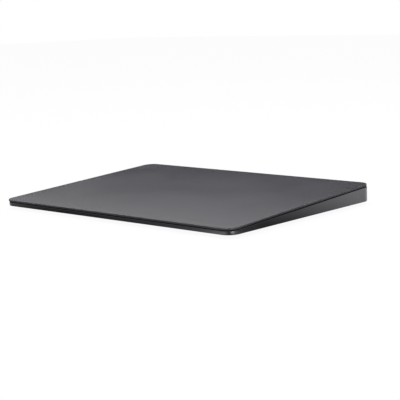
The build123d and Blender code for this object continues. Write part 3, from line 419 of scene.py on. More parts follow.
def addCard(name, size, place, turn, axis, levels):
    deselectAll()
    bpy.ops.mesh.primitive_plane_add(size=1, location=place, rotation=[math.radians(angle) for angle in turn])
    card = bpy.context.active_object
    card.name = name
    card.scale = (*size, 1)
    material = bpy.data.materials.new(name)
    tree, shader = openNodes(material)
    tree.nodes.remove(shader)
    glow = tree.nodes.new("ShaderNodeEmission")
    most = max(level for spot, level in levels) or 1
    glow.inputs["Strength"].default_value = most
    side = "XY".index(axis)
    length = size[side]
    middle = 0 if turn[2] else place[side]
    ramp = tree.nodes.new("ShaderNodeValToRGB")
    # the card's own coordinates run from -0.5 to 0.5 over its length
    for number, (spot, level) in enumerate(levels):
        share = min(1, max(0, (spot - middle) / length + 0.5))
        stops = ramp.color_ramp.elements
        stop = stops[number] if number < 2 else stops.new(share)
        stop.position = share
        stop.color = (level / most, level / most, level / most, 1)
    coords = tree.nodes.new("ShaderNodeTexCoord")
    parts = tree.nodes.new("ShaderNodeSeparateXYZ")
    tree.links.new(coords.outputs["Object"], parts.inputs["Vector"])
    tree.links.new(combine(tree, "ADD", parts.outputs[axis], 0.5), ramp.inputs["Fac"])
    tree.links.new(ramp.outputs["Color"], glow.inputs["Color"])
    tree.links.new(glow.outputs[0], tree.nodes["Material Output"].inputs["Surface"])
    card.data.materials.append(material)
    card.visible_camera = card.visible_shadow = card.visible_diffuse = card.visible_transmission = False


setCamera()
addWorld()
addFloor()
for lampName, lamp in lamps.items():
    addLamp(lampName, **lamp)
for cardName, card in cards.items():
    addCard(cardName, **card)
print("studio set")

# Finishes

# noiseSpan: the part of a noise's span that tone and gloss follow; lineFade: where the soft edge of a line ends,
# as a multiple of the line's share of the pitch; the details are levels of noise
common = {"fineDetail": 2.0, "drift": 60.0, "driftDetail": 3.0, "patchDetail": 0.0, "patchLevel": 0.5,
          "foldDetail": 5.0, "reliefDepth": 0.00005, "noiseSpan": (0.3, 0.7), "lineFade": 1.6}


def startMaterial(name, look):
    material = bpy.data.materials.new(name)
    tree, shader = openNodes(material)
    shader.inputs["Base Color"].default_value = (*look["colour"], 1)
    shader.inputs["Metallic"].default_value = look.get("metallic", 0.0)
    shader.inputs["Roughness"].default_value = look["roughness"]
    shader.inputs["Specular IOR Level"].default_value = look.get("specular", 0.5)
    return material, tree, shader


def addGrain(tree, scale, detail, stretch=(1, 1, 1)):
    place = tree.nodes.new("ShaderNodeTexCoord")
    mapping = tree.nodes.new("ShaderNodeMapping")
    mapping.inputs["Scale"].default_value = stretch
    noise = tree.nodes.new("ShaderNodeTexNoise")
    noise.inputs["Scale"].default_value = scale
    noise.inputs["Detail"].default_value = detail
    tree.links.new(place.outputs["Object"], mapping.inputs["Vector"])
    tree.links.new(mapping.outputs["Vector"], noise.inputs["Vector"])
    return noise.outputs["Fac"]


def varyRoughness(tree, shader, value, low, high):
    ranged = tree.nodes.new("ShaderNodeMapRange")
    for socket, level in zip(("From Min", "From Max", "To Min", "To Max"), (*common["noiseSpan"], low, high)):
        ranged.inputs[socket].default_value = level
    tree.links.new(value, ranged.inputs["Value"])
    tree.links.new(ranged.outputs["Result"], shader.inputs["Roughness"])


def varyColour(tree, shader, value, colour, change):
    ramp = tree.nodes.new("ShaderNodeValToRGB")
    for stop, place, factor in zip(ramp.color_ramp.elements, common["noiseSpan"], (1 - change, 1 + change)):
        stop.position = place
        stop.color = (*[min(1, part * factor) for part in colour], 1)
    tree.links.new(value, ramp.inputs["Fac"])
    tree.links.new(ramp.outputs["Color"], shader.inputs["Base Color"])


def addBump(tree, shader, value, strength, depth):
    bump = tree.nodes.new("ShaderNodeBump")
    bump.inputs["Strength"].default_value = strength
    bump.inputs["Distance"].default_value = depth
    tree.links.new(value, bump.inputs["Height"])
    tree.links.new(bump.outputs["Normal"], shader.inputs["Normal"])


def grainedFinish(name, look):
    # fine grain in the relief, broad drift in tone and gloss
    material, tree, shader = startMaterial(name, look)
    fine = addGrain(tree, look["grain"], common["fineDetail"], look.get("stretch", (1, 1, 1)))
    broad = addGrain(tree, look.get("drift", common["drift"]), common["driftDetail"])
    addBump(tree, shader, fine, look["relief"], look.get("reliefDepth", common["reliefDepth"]))
    varyColour(tree, shader, broad, look["colour"], look["toneChange"])
    spread = look["glossChange"]
    varyRoughness(tree, shader, broad, look["roughness"] - spread, look["roughness"] + spread)
    return material


def addLines(tree, pitch, axis, share, turn=0.0):
    # 1 on thin lines that repeat at a pitch along an axis; a wave of scale 1 repeats every pi / 10
    place = tree.nodes.new("ShaderNodeTexCoord")
    mapping = tree.nodes.new("ShaderNodeMapping")
    mapping.inputs["Rotation"].default_value = (turn, 0, 0)
    wave = tree.nodes.new("ShaderNodeTexWave")
    wave.bands_direction = axis
    wave.inputs["Scale"].default_value = math.pi / (10 * pitch)
    ranged = tree.nodes.new("ShaderNodeMapRange")
    ranged.inputs["From Min"].default_value = 1 - share * common["lineFade"]
    ranged.inputs["From Max"].default_value = 1 - share
    tree.links.new(place.outputs["Object"], mapping.inputs["Vector"])
    tree.links.new(mapping.outputs["Vector"], wave.inputs["Vector"])
    tree.links.new(wave.outputs["Fac"], ranged.inputs["Value"])
    return ranged.outputs["Result"]


def overlay(tree, shader, mask, colour):
    # another colour where the mask is 1, over what the shader has
    mix = tree.nodes.new("ShaderNodeMix")
    mix.data_type = "RGBA"
    under = shader.inputs["Base Color"].links[0].from_socket
    tree.links.new(mask, mix.inputs["Factor"])
    tree.links.new(under, mix.inputs["A"])
    mix.inputs["B"].default_value = (*colour, 1)
    tree.links.new(mix.outputs["Result"], shader.inputs["Base Color"])


def reliefOf(shader):
    return shader.inputs["Normal"].links[0].from_node.inputs["Height"]


def boardFinish(name, look):
    # copper tracks under the mask, in patches that run one way or the other, and plated holes
    material = grainedFinish(name, look)
    tree, shader = openNodes(material)
    patches = addGrain(tree, look["patches"], common["patchDetail"])
    across = combine(tree, "GREATER_THAN", patches, common["patchLevel"])
    along = combine(tree, "SUBTRACT", 1, across)
    tracks = combine(tree, "MULTIPLY", addLines(tree, look["pitch"], "Y", look["lineShare"]), across)
    others = combine(tree, "MULTIPLY", addLines(tree, look["pitch"], "X", look["lineShare"]), along)
    tracks = combine(tree, "MAXIMUM", tracks, others)
    overlay(tree, shader, combine(tree, "MULTIPLY", tracks, look["lineStrength"]), look["trackColour"])
    cells = tree.nodes.new("ShaderNodeTexVoronoi")
    cells.inputs["Scale"].default_value = look["holes"]
    place = tree.nodes.new("ShaderNodeTexCoord")
    tree.links.new(place.outputs["Object"], cells.inputs["Vector"])
    holes = combine(tree, "LESS_THAN", cells.outputs["Distance"], look["holeShare"])
    overlay(tree, shader, holes, look["holeColour"])
    tree.links.new(tracks, reliefOf(shader))
    return material


def gridFinish(name, look):
    # the two crossing sets of electrodes of the touch grid
    material = grainedFinish(name, look)
    tree, shader = openNodes(material)
    rows, columns = (addLines(tree, look["pitch"], axis, look["lineShare"]) for axis in "YX")
    overlay(tree, shader, combine(tree, "MAXIMUM", columns, rows), look["trackColour"])
    return material


def laminatedFinish(name, look):
    # stacked steel sheets, seen as fine grooves round the sides
    material = grainedFinish(name, look)
    tree, shader = openNodes(material)
    seams = addLines(tree, look["pitch"], "Z", look["lineShare"], -plate["slope"])
    overlay(tree, shader, combine(tree, "MULTIPLY", seams, look["lineStrength"]), look["seamColour"])
    tree.links.new(combine(tree, "SUBTRACT", 1, seams), reliefOf(shader))
    return material


def foilFinish(name, look):
    # laminated foil with soft wrinkles
    material = grainedFinish(name, look)
    tree, shader = openNodes(material)
    folds = addGrain(tree, look["folds"], common["foldDetail"], look["foldStretch"])
    tree.links.new(folds, reliefOf(shader))
    return material


def ribbonFinish(name, look):
    # conductors side by side under the film
    material = grainedFinish(name, look)
    tree, shader = openNodes(material)
    lines = addLines(tree, look["pitch"], "X", look["lineShare"])
    overlay(tree, shader, lines, look["trackColour"])
    tree.links.new(lines, reliefOf(shader))
    return material


madeBy = {
    "circuit_board": boardFinish,
    "sensor_board": gridFinish,
    "magnetic_steel": laminatedFinish,
    "battery": foilFinish,
    "ribbon": ribbonFinish,
}

# reliefDepth and pitch are in metres; grain, drift, patches, holes and folds are scales of noise
looks = {
    "touch_glass": {"colour": (0.056, 0.054, 0.066), "roughness": 0.21, "glossChange": 0.02,
                    "toneChange": 0.02, "grain": 9000, "relief": 0.02, "drift": 35},
    # the glass plate's side faces, darker and duller than the top: partly the ground edge, partly painted shade
    "glassSide": {"colour": (0.037, 0.0365, 0.0405), "specular": 0.1, "roughness": 0.5, "glossChange": 0.03,
                  "toneChange": 0.04, "grain": 6000, "relief": 0.1},
    # near black, partly painted shade of the gap under the glass
    "film": {"colour": (0.007, 0.007, 0.008), "specular": 0.1, "roughness": 0.6, "glossChange": 0.05,
             "toneChange": 0.08, "grain": 2500, "relief": 0.1},
    # very dark, partly painted shade of the gap under the glass
    "sensor_board": {"colour": (0.012, 0.016, 0.015), "roughness": 0.45, "glossChange": 0.08,
                     "toneChange": 0.15, "grain": 1500, "relief": 0.1, "pitch": 0.0045, "lineShare": 0.05,
                     "trackColour": (0.1, 0.085, 0.05)},
    "sheet_steel": {"colour": (0.36, 0.365, 0.37), "metallic": 1.0, "roughness": 0.38, "glossChange": 0.07,
                    "toneChange": 0.08, "grain": 900, "stretch": (1, 18, 18), "relief": 0.12},
    "spring_steel": {"colour": (0.38, 0.37, 0.34), "metallic": 1.0, "roughness": 0.3, "glossChange": 0.06,
                     "toneChange": 0.07, "grain": 900, "stretch": (1, 22, 22), "relief": 0.1},
    "magnetic_steel": {"colour": (0.3, 0.3, 0.31), "metallic": 1.0, "roughness": 0.42, "glossChange": 0.06,
                       "toneChange": 0.1, "grain": 700, "stretch": (1, 1, 30), "relief": 0.2,
                       "pitch": 0.00035, "lineShare": 0.16, "lineStrength": 0.7,
                       "seamColour": (0.1, 0.1, 0.105)},
    "winding": {"colour": (0.45, 0.17, 0.07), "metallic": 1.0, "roughness": 0.28, "glossChange": 0.08,
                "toneChange": 0.1, "grain": 1200, "relief": 0.08},
    "housing": {"colour": (0.045, 0.0443, 0.0492), "metallic": 1.0, "roughness": 0.3, "glossChange": 0.03,
                "toneChange": 0.04, "grain": 5200, "relief": 0.05},
    "base_cover": {"colour": (0.055, 0.055, 0.058), "metallic": 1.0, "roughness": 0.46, "glossChange": 0.04,
                   "toneChange": 0.05, "grain": 4200, "relief": 0.16},
    "foot": {"colour": (0.022, 0.022, 0.023), "roughness": 0.72, "glossChange": 0.06, "toneChange": 0.15,
             "grain": 2600, "relief": 0.35},
    "gel": {"colour": (0.55, 0.58, 0.62), "roughness": 0.3, "glossChange": 0.05, "toneChange": 0.04,
            "grain": 1800, "relief": 0.1},
    "battery": {"colour": (0.06, 0.06, 0.066), "metallic": 0.6, "roughness": 0.4, "glossChange": 0.08,
                "toneChange": 0.1, "grain": 700, "relief": 0.2, "reliefDepth": 0.0004, "folds": 180,
                "foldStretch": (1, 2.2, 1)},
    "circuit_board": {"colour": (0.01, 0.055, 0.028), "roughness": 0.35, "glossChange": 0.08,
                      "toneChange": 0.2, "grain": 1300, "relief": 0.1, "reliefDepth": 0.00001,
                      "pitch": 0.0005, "lineShare": 0.3, "lineStrength": 0.7, "patches": 160,
                      "trackColour": (0.035, 0.14, 0.07), "holes": 420, "holeShare": 0.13,
                      "holeColour": (0.55, 0.42, 0.16)},
    "chip": {"colour": (0.018, 0.018, 0.019), "roughness": 0.55, "glossChange": 0.05, "toneChange": 0.1,
             "grain": 6000, "relief": 0.2},
    "capacitor": {"colour": (0.36, 0.25, 0.14), "roughness": 0.4, "glossChange": 0.06, "toneChange": 0.1,
                  "grain": 3000, "relief": 0.08},
    "connector": {"colour": (0.62, 0.59, 0.5), "roughness": 0.45, "glossChange": 0.05, "toneChange": 0.06,
                  "grain": 2500, "relief": 0.1},
    "contact": {"colour": (0.8, 0.58, 0.22), "metallic": 1.0, "roughness": 0.2, "glossChange": 0.05,
                "toneChange": 0.05, "grain": 3000, "relief": 0.04},
    "port_shell": {"colour": (0.42, 0.42, 0.43), "metallic": 1.0, "roughness": 0.25, "glossChange": 0.05,
                   "toneChange": 0.05, "grain": 1500, "stretch": (1, 14, 1), "relief": 0.06},
    "port_block": {"colour": (0.02, 0.02, 0.021), "roughness": 0.5, "glossChange": 0.05, "toneChange": 0.1,
                   "grain": 3500, "relief": 0.12},
    "screw": {"colour": (0.33, 0.33, 0.34), "metallic": 1.0, "roughness": 0.3, "glossChange": 0.06,
              "toneChange": 0.08, "grain": 2500, "relief": 0.08},
    "flat_cable": {"colour": (0.4, 0.17, 0.035), "roughness": 0.35, "glossChange": 0.08, "toneChange": 0.12,
                   "grain": 1500, "relief": 0.05},
    "switch_body": {"colour": (0.03, 0.03, 0.031), "roughness": 0.5, "glossChange": 0.05, "toneChange": 0.1,
                    "grain": 3500, "relief": 0.12},
    "knob": {"colour": (0.3, 0.3, 0.31), "roughness": 0.4, "glossChange": 0.04, "toneChange": 0.04,
             "grain": 4000, "relief": 0.1},
    "tinned": {"colour": (0.42, 0.42, 0.41), "metallic": 1.0, "roughness": 0.35, "glossChange": 0.06,
               "toneChange": 0.06, "grain": 3000, "relief": 0.1},
    "latch": {"colour": (0.03, 0.028, 0.026), "roughness": 0.5, "glossChange": 0.06, "toneChange": 0.1,
              "grain": 3000, "relief": 0.1},
    "ribbon": {"colour": (0.36, 0.15, 0.03), "roughness": 0.35, "glossChange": 0.08, "toneChange": 0.12,
               "grain": 1500, "relief": 0.1, "reliefDepth": 0.00002, "pitch": 0.0005, "lineShare": 0.3,
               "trackColour": (0.52, 0.25, 0.06)},
    "gauge": {"colour": (0.5, 0.3, 0.08), "roughness": 0.3, "glossChange": 0.08, "toneChange": 0.1,
              "grain": 1500, "relief": 0.06},
}

finishes = {slot: madeBy.get(slot, grainedFinish)(slot, look) for slot, look in looks.items()}
for node, item in nodes.items():
    for place in item.material_slots:
        place.material = finishes[slotOf[node]]
    if not item.material_slots:
        item.data.materials.append(finishes[slotOf[node]])
print("finishes made")

# Glass plate. In all pieces the roundings (corner, rim, edge, shoulder) have their width and their segments.

glass = {"width": 0.160, "length": 0.114558, "thickness": 0.001, "corner": (0.006, 16),
         "rim": (0.00022, 4), "sideShadeBelow": 0.75, "lowerEdge": (0.0002, 1), "lowerShadeBelow": -0.3}


def makeGlassPlate():
    out = outOf(plate["slope"])
    size = (glass["width"], glass["length"], glass["thickness"])
    middle = Vector(plate["middle"]) - out * glass["thickness"] / 2
    sheet = addBlock("glassPlate", size, middle, plate["slope"])
    bevelEdges(sheet, glass["corner"], running(out))
    bevelEdges(sheet, glass["rim"], rimsAt(out, middle.dot(out) + glass["thickness"] / 2))
    bevelEdges(sheet, glass["lowerEdge"], rimsAt(out, middle.dot(out) - glass["thickness"] / 2))
    smoothAs(sheet, "sheet")
    wear(sheet, finishes["touch_glass"])
    # the side faces get a darker, duller finish than the top: partly the ground edge, partly painted shade
    paintFaces(sheet, finishes["glassSide"], lambda mid, normal: normal.dot(out) < glass["sideShadeBelow"])
    # the underside and the lower chamfer are painted near black with the film finish: painted shade in the gap
    # under the glass
    paintFaces(sheet, finishes["film"], lambda mid, normal: normal.dot(out) < glass["lowerShadeBelow"])
    standsFor(sheet, "touch_glass")


makeGlassPlate()
print("glass plate made")

# Chips

chip = {"substrateShare": 0.35, "bodyInset": 0.00012, "edge": (0.00005, 2), "dotRadius": 0.00022,
        "dotDepth": 0.00006, "dotInset": 0.0006, "dotSides": 24}
controllers = {"size": (0.006, 0.006, 0.0006)}


def makeChip(name, middle, size, slope=0.0, facing=1):
    # thin carrier, and on it the moulded body with a dimple at its first corner
    out = outOf(slope) * facing
    lower = size[2] * chip["substrateShare"]
    rise = out * (size[2] - lower)
    piece = addBlock(name, (size[0], size[1], lower), middle - rise / 2, slope)
    insetFaces(piece, chip["bodyInset"], looking(out))
    extrudeFaces(piece, rise, lookingMid(out, middle))
    top = middle + out * size[2] / 2
    bevelEdges(piece, chip["edge"], rimsAt(out, top.dot(out)))
    corner = top + upThe(slope) * (size[1] / 2 - chip["dotInset"])
    corner.x += chip["dotInset"] - size[0] / 2
    deselectAll()
    bpy.ops.mesh.primitive_cylinder_add(vertices=chip["dotSides"], radius=chip["dotRadius"],
                                        depth=2 * chip["dotDepth"], location=corner, rotation=(slope, 0, 0))
    cutWith(piece, bpy.context.active_object)
    smoothAs(piece, "block")
    wear(piece, finishes["chip"])
    return piece


def makeChips():
    for node in ("processor_chip", "converter_chip"):
        ends = solidBoxes(node)[0]
        standsFor(makeChip(node + "Body", middleOf(ends), ends[1] - ends[0]), node)
    first, second = (middleOf(ends) for ends in solidBoxes("touch_controller"))
    left = makeChip("touchChipLeft", first, controllers["size"], plate["slope"], -1)
    right = copyTo(left, "touchChipRight", second - first)
    standsFor(joinAs("touchChips", [left, right]), "touch_controller")


makeChips()
print("chips made")

# Capacitors

capacitor = {"edge": (0.00004, 2), "endShare": 0.24, "waist": 0.00002}


def makeCapacitors():
    boxes = solidBoxes("board_capacitors")
    middle = middleOf(boxes[0])
    size = boxes[0][1] - boxes[0][0]
    piece = addBlock("boardCapacitors", size, middle)
    bevelEdges(piece, capacitor["edge"], lambda mid, along: True)
    reach = size.y * (0.5 - capacitor["endShare"])
    for side in (-1, 1):
        bisectAt(piece, (middle.x, middle.y + side * reach, middle.z), (0, 1, 0))
    wear(piece, finishes["capacitor"])
    paintFaces(piece, finishes["tinned"], lambda mid, normal: abs(mid.y - middle.y) > reach)
    startEdit(piece)
    pickFaces(piece, lambda mid, normal: abs(mid.y - middle.y) < reach)
    bpy.ops.transform.shrink_fatten(value=-capacitor["waist"])
    bpy.ops.object.mode_set(mode="OBJECT")
    smoothAs(piece, "block")
    copies = [copyTo(piece, "capacitor", middleOf(ends) - middle) for ends in boxes[1:]]
    standsFor(joinAs("boardCapacitors", [piece] + copies), "board_capacitors")


makeCapacitors()
print("capacitors made")

# Connectors

connector = {"edge": (0.00006, 2), "bodyShare": 0.62, "latchShare": 0.34, "latchInset": 0.00012,
             "latchEdge": (0.000084, 3), "slotInset": 0.0002, "slotDepth": 0.00022, "tails": 6,
             "tailSize": (0.00012, 0.00016, 0.00012), "tailInset": 0.0003, "tailEdge": (0.000036, 2)}
boardLink = {"widerThan": 0.003, "edge": (0.00006, 2), "wallInset": 0.0004, "wellDepth": 0.0004,
             "islandInset": 0.0006, "islandRise": 0.0003, "contacts": 11, "contactPitch": 0.0004,
             "contactSize": (0.00012, 0.00018, 0.00022), "contactEdge": (0.00004, 2),
             "contactInset": 0.0005, "contactDrop": 0.0003}
plateLink = {"size": (0.005, 0.004, 0.00066), "lift": 0.00002}


def makeCableConnector(ends):
    # moulded body with the cable's slot, a hinged latch bar, and solder tails in a row
    size = ends[1] - ends[0]
    middle = middleOf(ends)
    tall = size.z * connector["bodyShare"]
    top = ends[0].z + tall
    bed = top - connector["slotDepth"]
    body = addBlock("cableConnector", (size.x, size.y, tall), (middle.x, middle.y, ends[0].z + tall / 2))
    insetFaces(body, connector["slotInset"], looking(upward))
    extrudeFaces(body, (0, 0, bed - top), lookingMid(upward, middle))
    isOuter = lambda mid: any(abs(abs(mid[axis] - middle[axis]) - size[axis] / 2) < near for axis in (0, 1))
    bevelEdges(body, connector["edge"], lambda mid, along: abs(mid.z - top) < near and isOuter(mid))
    deep = size.y * connector["latchShare"]
    latch = addBlock("latch", (size.x - 2 * connector["latchInset"], deep, size.z - tall),
                     (middle.x, ends[1].y - deep / 2, (top + ends[1].z) / 2))
    isHigh = lambda mid: mid.z > ends[1].z - near
    bevelEdges(latch, connector["latchEdge"], lambda mid, along: isAlong(along, rightward) and isHigh(mid))
    step = (size.x - 4 * connector["latchInset"]) / connector["tails"]
    start = (middle.x - step * (connector["tails"] - 1) / 2, ends[0].y + connector["tailInset"],
             bed + connector["tailSize"][2] / 2)
    tail = addBlock("tail", connector["tailSize"], start)
    isRaised = lambda mid: mid.z > bed + near
    bevelEdges(tail, connector["tailEdge"], lambda mid, along: isAlong(along, rightward) and isRaised(mid))
    repeatAlong(tail, connector["tails"], (step, 0, 0))
    wear(body, finishes["connector"])
    wear(latch, finishes["latch"])
    wear(tail, finishes["contact"])
    piece = joinAs("cableConnector", [body, latch, tail])
    smoothAs(piece, "block")
    return piece


def makeBoardLink(name, middle, size, slope=0.0, facing=1):
    # well with an island, and a row of contacts in each long wall
    out, along = outOf(slope) * facing, upThe(slope)
    body = addBlock(name, size, middle, slope)
    inner = lookingMid(out, middle)
    insetFaces(body, boardLink["wallInset"], looking(out))
    extrudeFaces(body, -out * boardLink["wellDepth"], inner)
    insetFaces(body, boardLink["islandInset"], inner)
    extrudeFaces(body, out * boardLink["islandRise"], inner)
    bevelEdges(body, boardLink["edge"], rimsAt(out, middle.dot(out) + size[2] / 2))
    wear(body, finishes["connector"])
    rows = [body]
    for side in (-1, 1):
        place = middle + along * side * (size[1] / 2 - boardLink["contactInset"])
        place += out * (size[2] / 2 - boardLink["contactDrop"])
        place.x -= boardLink["contactPitch"] * (boardLink["contacts"] - 1) / 2
        contact = addBlock("contactRow", boardLink["contactSize"], place, slope)
        bevelEdges(contact, boardLink["contactEdge"], running(rightward))
        repeatAlong(contact, boardLink["contacts"], (boardLink["contactPitch"], 0, 0))
        wear(contact, finishes["contact"])
        rows.append(contact)
    piece = joinAs(name, rows)
    smoothAs(piece, "block")
    return piece


def makeConnectors():
    boxes = solidBoxes("board_connectors")
    isLarge = lambda ends: (ends[1] - ends[0]).x > boardLink["widerThan"]
    large = [ends for ends in boxes if isLarge(ends)]
    small = [ends for ends in boxes if not isLarge(ends)]
    made = [makeCableConnector(small[0])]
    made += [copyTo(made[0], "cableConnector", middleOf(ends) - middleOf(small[0])) for ends in small[1:]]
    made += [makeBoardLink("boardLink", middleOf(ends), ends[1] - ends[0]) for ends in large]
    standsFor(joinAs("boardConnectors", made), "board_connectors")
    middle = middleOf(solidBoxes("plate_connector")[0]) + outOf(plate["slope"]) * plateLink["lift"]
    link = makeBoardLink("plateLink", middle, plateLink["size"], plate["slope"], -1)
    standsFor(link, "plate_connector")


makeConnectors()
print("connectors made")

# Shield can

shield = {"corner": (0.0005, 5), "topEdge": (0.00018, 3), "panelInset": 0.0006, "panelCorner": (0.0004, 5),
          "panelDrop": 0.0001, "holes": (6, 4), "holePitch": 0.0013, "holeRadius": 0.00022, "holeSides": 16,
          "wall": 0.0002}


def makeShieldCan():
    # drawn can with a sunk panel, and rows of holes in it, their bottoms painted dark as painted shade
    ends = solidBoxes("wireless_shield")[0]
    size = ends[1] - ends[0]
    middle = middleOf(ends)
    top = ends[1].z
    can = addBlock("shieldCan", size, middle)
    bevelEdges(can, shield["corner"], running(upward))
    bevelEdges(can, shield["topEdge"], rimsAt(upward, top))
    inset, drop = 2 * shield["panelInset"], shield["panelDrop"]
    panel = addBlock("panel", (size.x - inset, size.y - inset, 2 * drop), (middle.x, middle.y, top))
    bevelEdges(panel, shield["panelCorner"], running(upward))
    cutWith(can, panel)
    across, deep = shield["holes"]
    start = middle - Vector(((across - 1) / 2, (deep - 1) / 2, 0)) * shield["holePitch"]
    deselectAll()
    bpy.ops.mesh.primitive_cylinder_add(vertices=shield["holeSides"], radius=shield["holeRadius"],
                                        depth=2 * shield["wall"], location=(start.x, start.y, top - drop))
    drill = bpy.context.active_object
    bpy.ops.object.transform_apply(location=True, rotation=True, scale=True)
    repeatAlong(drill, across, (shield["holePitch"], 0, 0))
    repeatAlong(drill, deep, (0, shield["holePitch"], 0))
    cutWith(can, drill)
    wear(can, finishes["sheet_steel"])
    below = top - drop - shield["wall"] / 2
    # the hole bottoms get the near-black latch finish as painted shade of the can's inside
    paintFaces(can, finishes["latch"], lambda mid, normal: looking(upward)(mid, normal) and mid.z < below)
    smoothAs(can, "sheet")
    standsFor(can, "wireless_shield")


makeShieldCan()
print("shield can made")

# Coils

coil = {"width": 0.0087, "length": 0.005, "height": 0.0018, "opening": (0.0061, 0.006, 0.0011),
        "wire": 0.00011, "wireSteps": 1, "turns": 22, "corner": (0.0006, 4), "bodyCorner": (0.00048, 4)}


def makeCoils():
    # one layer of wire laid turn by turn over a wound body, with the tooth's opening through it
    slope = plate["slope"]
    boxes = solidBoxes("haptic_coils")
    middle = middleOf(boxes[0])
    wire = coil["wire"]
    along = upThe(slope)
    body = addBlock("coil", (coil["width"] - 3 * wire, coil["length"], coil["height"] - 3 * wire), middle, slope)
    bevelEdges(body, coil["bodyCorner"], running(along))
    cutWith(body, addBlock("opening", coil["opening"], middle, slope))
    deselectAll()
    bpy.ops.mesh.primitive_plane_add(size=1, location=(0, 0, 0), rotation=(math.radians(90), 0, 0))
    turn = bpy.context.active_object
    turn.scale = (coil["width"] - 2 * wire, coil["height"] - 2 * wire, 1)
    bpy.ops.object.transform_apply(location=True, rotation=True, scale=True)
    bpy.ops.object.mode_set(mode="EDIT")
    bpy.ops.mesh.select_all(action="SELECT")
    bpy.ops.mesh.bevel(offset=coil["corner"][0], segments=coil["corner"][1], affect="VERTICES")
    bpy.ops.mesh.delete(type="ONLY_FACE")
    bpy.ops.object.mode_set(mode="OBJECT")
    bpy.ops.object.convert(target="CURVE")
    turn.data.bevel_depth = wire
    turn.data.bevel_resolution = coil["wireSteps"]
    bpy.ops.object.convert(target="MESH")
    step = (coil["length"] - 2 * wire) / (coil["turns"] - 1)
    repeatAlong(turn, coil["turns"], (0, step, 0))
    makeActive(turn)
    turn.rotation_euler = (slope, 0, 0)
    turn.location = middle - along * (coil["length"] / 2 - wire)
    bpy.ops.object.transform_apply(location=True, rotation=True, scale=True)
    wear(body, finishes["winding"])
    wear(turn, finishes["winding"])
    piece = joinAs("hapticCoils", [body, turn])
    smoothAs(piece, "wire")
    copies = [copyTo(piece, "coil", middleOf(ends) - middle) for ends in boxes[1:]]
    standsFor(joinAs("hapticCoils", [piece] + copies), "haptic_coils")


makeCoils()
print("coils made")

# Sprung tabs, which bend between root and tip as the plate is pressed

tab = {"root": 0.0665, "tip": 0.0555, "edge": (0.00006, 2), "sections": 10}


def bendOf(x):
    side = 1 if x > 0 else -1
    return (side * tab["root"], 0, 0), (side * tab["tip"], 0, 0)


def makeTabs():
    out = outOf(plate["slope"])
    for row in ("front", "rear"):
        for hand in ("left", "right"):
            node = "flexure_" + row + "_" + hand
            piece = copyOfNode(row + hand.title() + "Tab", node)
            heights = [vert.co.dot(out) for vert in piece.data.vertices]
            bevelEdges(piece, tab["edge"], rimsAt(out, min(heights), max(heights)))
            start, end = bendOf(piece.data.vertices[0].co.x)
            divideAcross(piece, start[0], end[0], tab["sections"])
            smoothAs(piece, "sheet")
            wear(piece, finishes["spring_steel"])
            bendsFor(piece, start, end, node)


makeTabs()
print("sprung tabs made")

# Strain gauges

gauge = {"size": (0.005, 0.0036, 0.0001), "corner": (0.0005, 4), "foil": 0.00002, "strip": (0.0032, 0.00012),
         "stripShift": 0.0004, "pitch": 0.00026, "strips": 9, "pad": (0.0007, 0.0009),
         "padShift": (-0.0019, 0.0009), "padCorner": (0.0001, 3)}


def makeGauges():
    # a film with a foil conductor folded to and fro on it, and two pads
    slope = plate["slope"]
    out, along = outOf(slope), upThe(slope)
    boxes = solidBoxes("strain_gauges")
    middle = middleOf(boxes[0])
    wide, deep, thick = gauge["size"]
    foil, pitch = gauge["foil"], gauge["pitch"]
    film = addBlock("film", (wide, deep, thick - foil), middle - out * foil / 2, slope)
    bevelEdges(film, gauge["corner"], running(out))
    wear(film, finishes["gauge"])
    surface = middle + out * (thick - foil) / 2
    long, narrow = gauge["strip"]
    first = surface - along * pitch * (gauge["strips"] - 1) / 2
    first.x += gauge["stripShift"]
    strip = addBlock("strip", (long, narrow, foil), first, slope)
    repeatAlong(strip, gauge["strips"], along * pitch)
    parts = [film, strip]
    for number in range(gauge["strips"] - 1):
        spot = first + along * pitch * (number + 0.5)
        spot.x += (1, -1)[number % 2] * (long - narrow) / 2
        parts.append(addBlock("link", (narrow, pitch + narrow, foil), spot, slope))
    for end in (-1, 1):
        spot = surface + along * end * gauge["padShift"][1]
        spot.x += gauge["padShift"][0]
        pad = addBlock("pad", (*gauge["pad"], foil), spot, slope)
        bevelEdges(pad, gauge["padCorner"], running(out))
        parts.append(pad)
    for part in parts[1:]:
        wear(part, finishes["contact"])
    piece = joinAs("gauge", parts)
    copies = [copyTo(piece, "gauge", middleOf(ends) - middle) for ends in boxes[1:]]
    for number, (made, ends) in enumerate(zip([piece] + copies, boxes)):
        made.name = made.data.name = "gauge" + str(number + 1)
        bendsFor(made, *bendOf(ends[0].x), "strain_gauges")


makeGauges()
print("gauges made")

# Battery pouch

pouch = {"corner": (0.0012, 4), "shoulder": (0.0009, 4), "crownInset": 0.0024, "crownCorner": (0.001, 4),
         "crownDrop": 0.00008, "crownEdge": (0.000072, 2), "seam": 0.00025, "seamLow": 0.0005,
         "seamHeight": 0.0022, "seamInset": 0.0015, "seamEdge": (0.000075, 2), "terrace": 0.0045,
         "terraceHeight": 0.0008, "terraceInset": 0.0008, "terraceEdge": (0.00024, 3)}


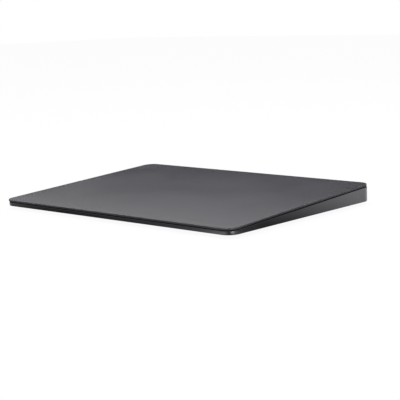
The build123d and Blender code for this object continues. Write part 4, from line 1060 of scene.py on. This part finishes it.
def makePouch():
    # formed pouch between two folded side seams, with the sealed terrace at its left end
    low, high = solidBoxes("battery_cell")[0]
    left = low.x + pouch["terrace"]
    front, rear = low.y + pouch["seam"], high.y - pouch["seam"]
    long, deep, tall = high.x - left, rear - front, high.z - low.z
    middle = Vector(((left + high.x) / 2, (front + rear) / 2, (low.z + high.z) / 2))
    body = addBlock("batteryPouch", (long, deep, tall), middle)
    bevelEdges(body, pouch["corner"], running(upward))
    bevelEdges(body, pouch["shoulder"], rimsAt(upward, low.z, high.z))
    inset, drop = 2 * pouch["crownInset"], pouch["crownDrop"]
    crown = addBlock("crown", (long - inset, deep - inset, 2 * drop), (middle.x, middle.y, high.z))
    bevelEdges(crown, pouch["crownCorner"], running(upward))
    bevelEdges(crown, pouch["crownEdge"], rimsAt(upward, high.z - drop))
    cutWith(body, crown)
    parts = [body]
    for y in (front - pouch["seam"] / 2, rear + pouch["seam"] / 2):
        seam = addBlock("seam", (long - 2 * pouch["seamInset"], pouch["seam"], pouch["seamHeight"]),
                        (middle.x, y, low.z + pouch["seamLow"] + pouch["seamHeight"] / 2))
        bevelEdges(seam, pouch["seamEdge"], running(rightward))
        parts.append(seam)
    reach = pouch["terrace"] + pouch["shoulder"][0]
    terrace = addBlock("terrace", (reach, deep - 2 * pouch["terraceInset"], pouch["terraceHeight"]),
                       (low.x + reach / 2, middle.y, low.z + pouch["terraceHeight"] / 2))
    bevelEdges(terrace, pouch["terraceEdge"],
               lambda mid, along: mid.x < low.x + near or isAlong(along, rightward))
    parts.append(terrace)
    for part in parts:
        wear(part, finishes["battery"])
    piece = joinAs("batteryPouch", parts)
    smoothAs(piece, "block")
    standsFor(piece, "battery_cell")


makePouch()
print("battery pouch made")

# Main board, merged so that its mask shades evenly

board = {"edge": (0.00004, 2)}


def makeBoard():
    piece = copyOfNode("board", "main_board")
    top = max(vert.co.z for vert in piece.data.vertices)
    bevelEdges(piece, board["edge"], rimsAt(upward, top))
    smoothAs(piece, "sheet")
    wear(piece, finishes["circuit_board"])
    standsFor(piece, "main_board")


makeBoard()
print("board made")

# Looped cable of the touch plate, which bends between two heights as the plate is pressed

loop = {"low": 0.0054, "high": 0.008}


def makeLoop():
    piece = copyOfNode("loopCable", "sensor_cable")
    smoothAs(piece, "sheet")
    wear(piece, finishes["ribbon"])
    bendsFor(piece, (0, 0, loop["low"]), (0, 0, loop["high"]), "sensor_cable")


makeLoop()
print("looped cable made")
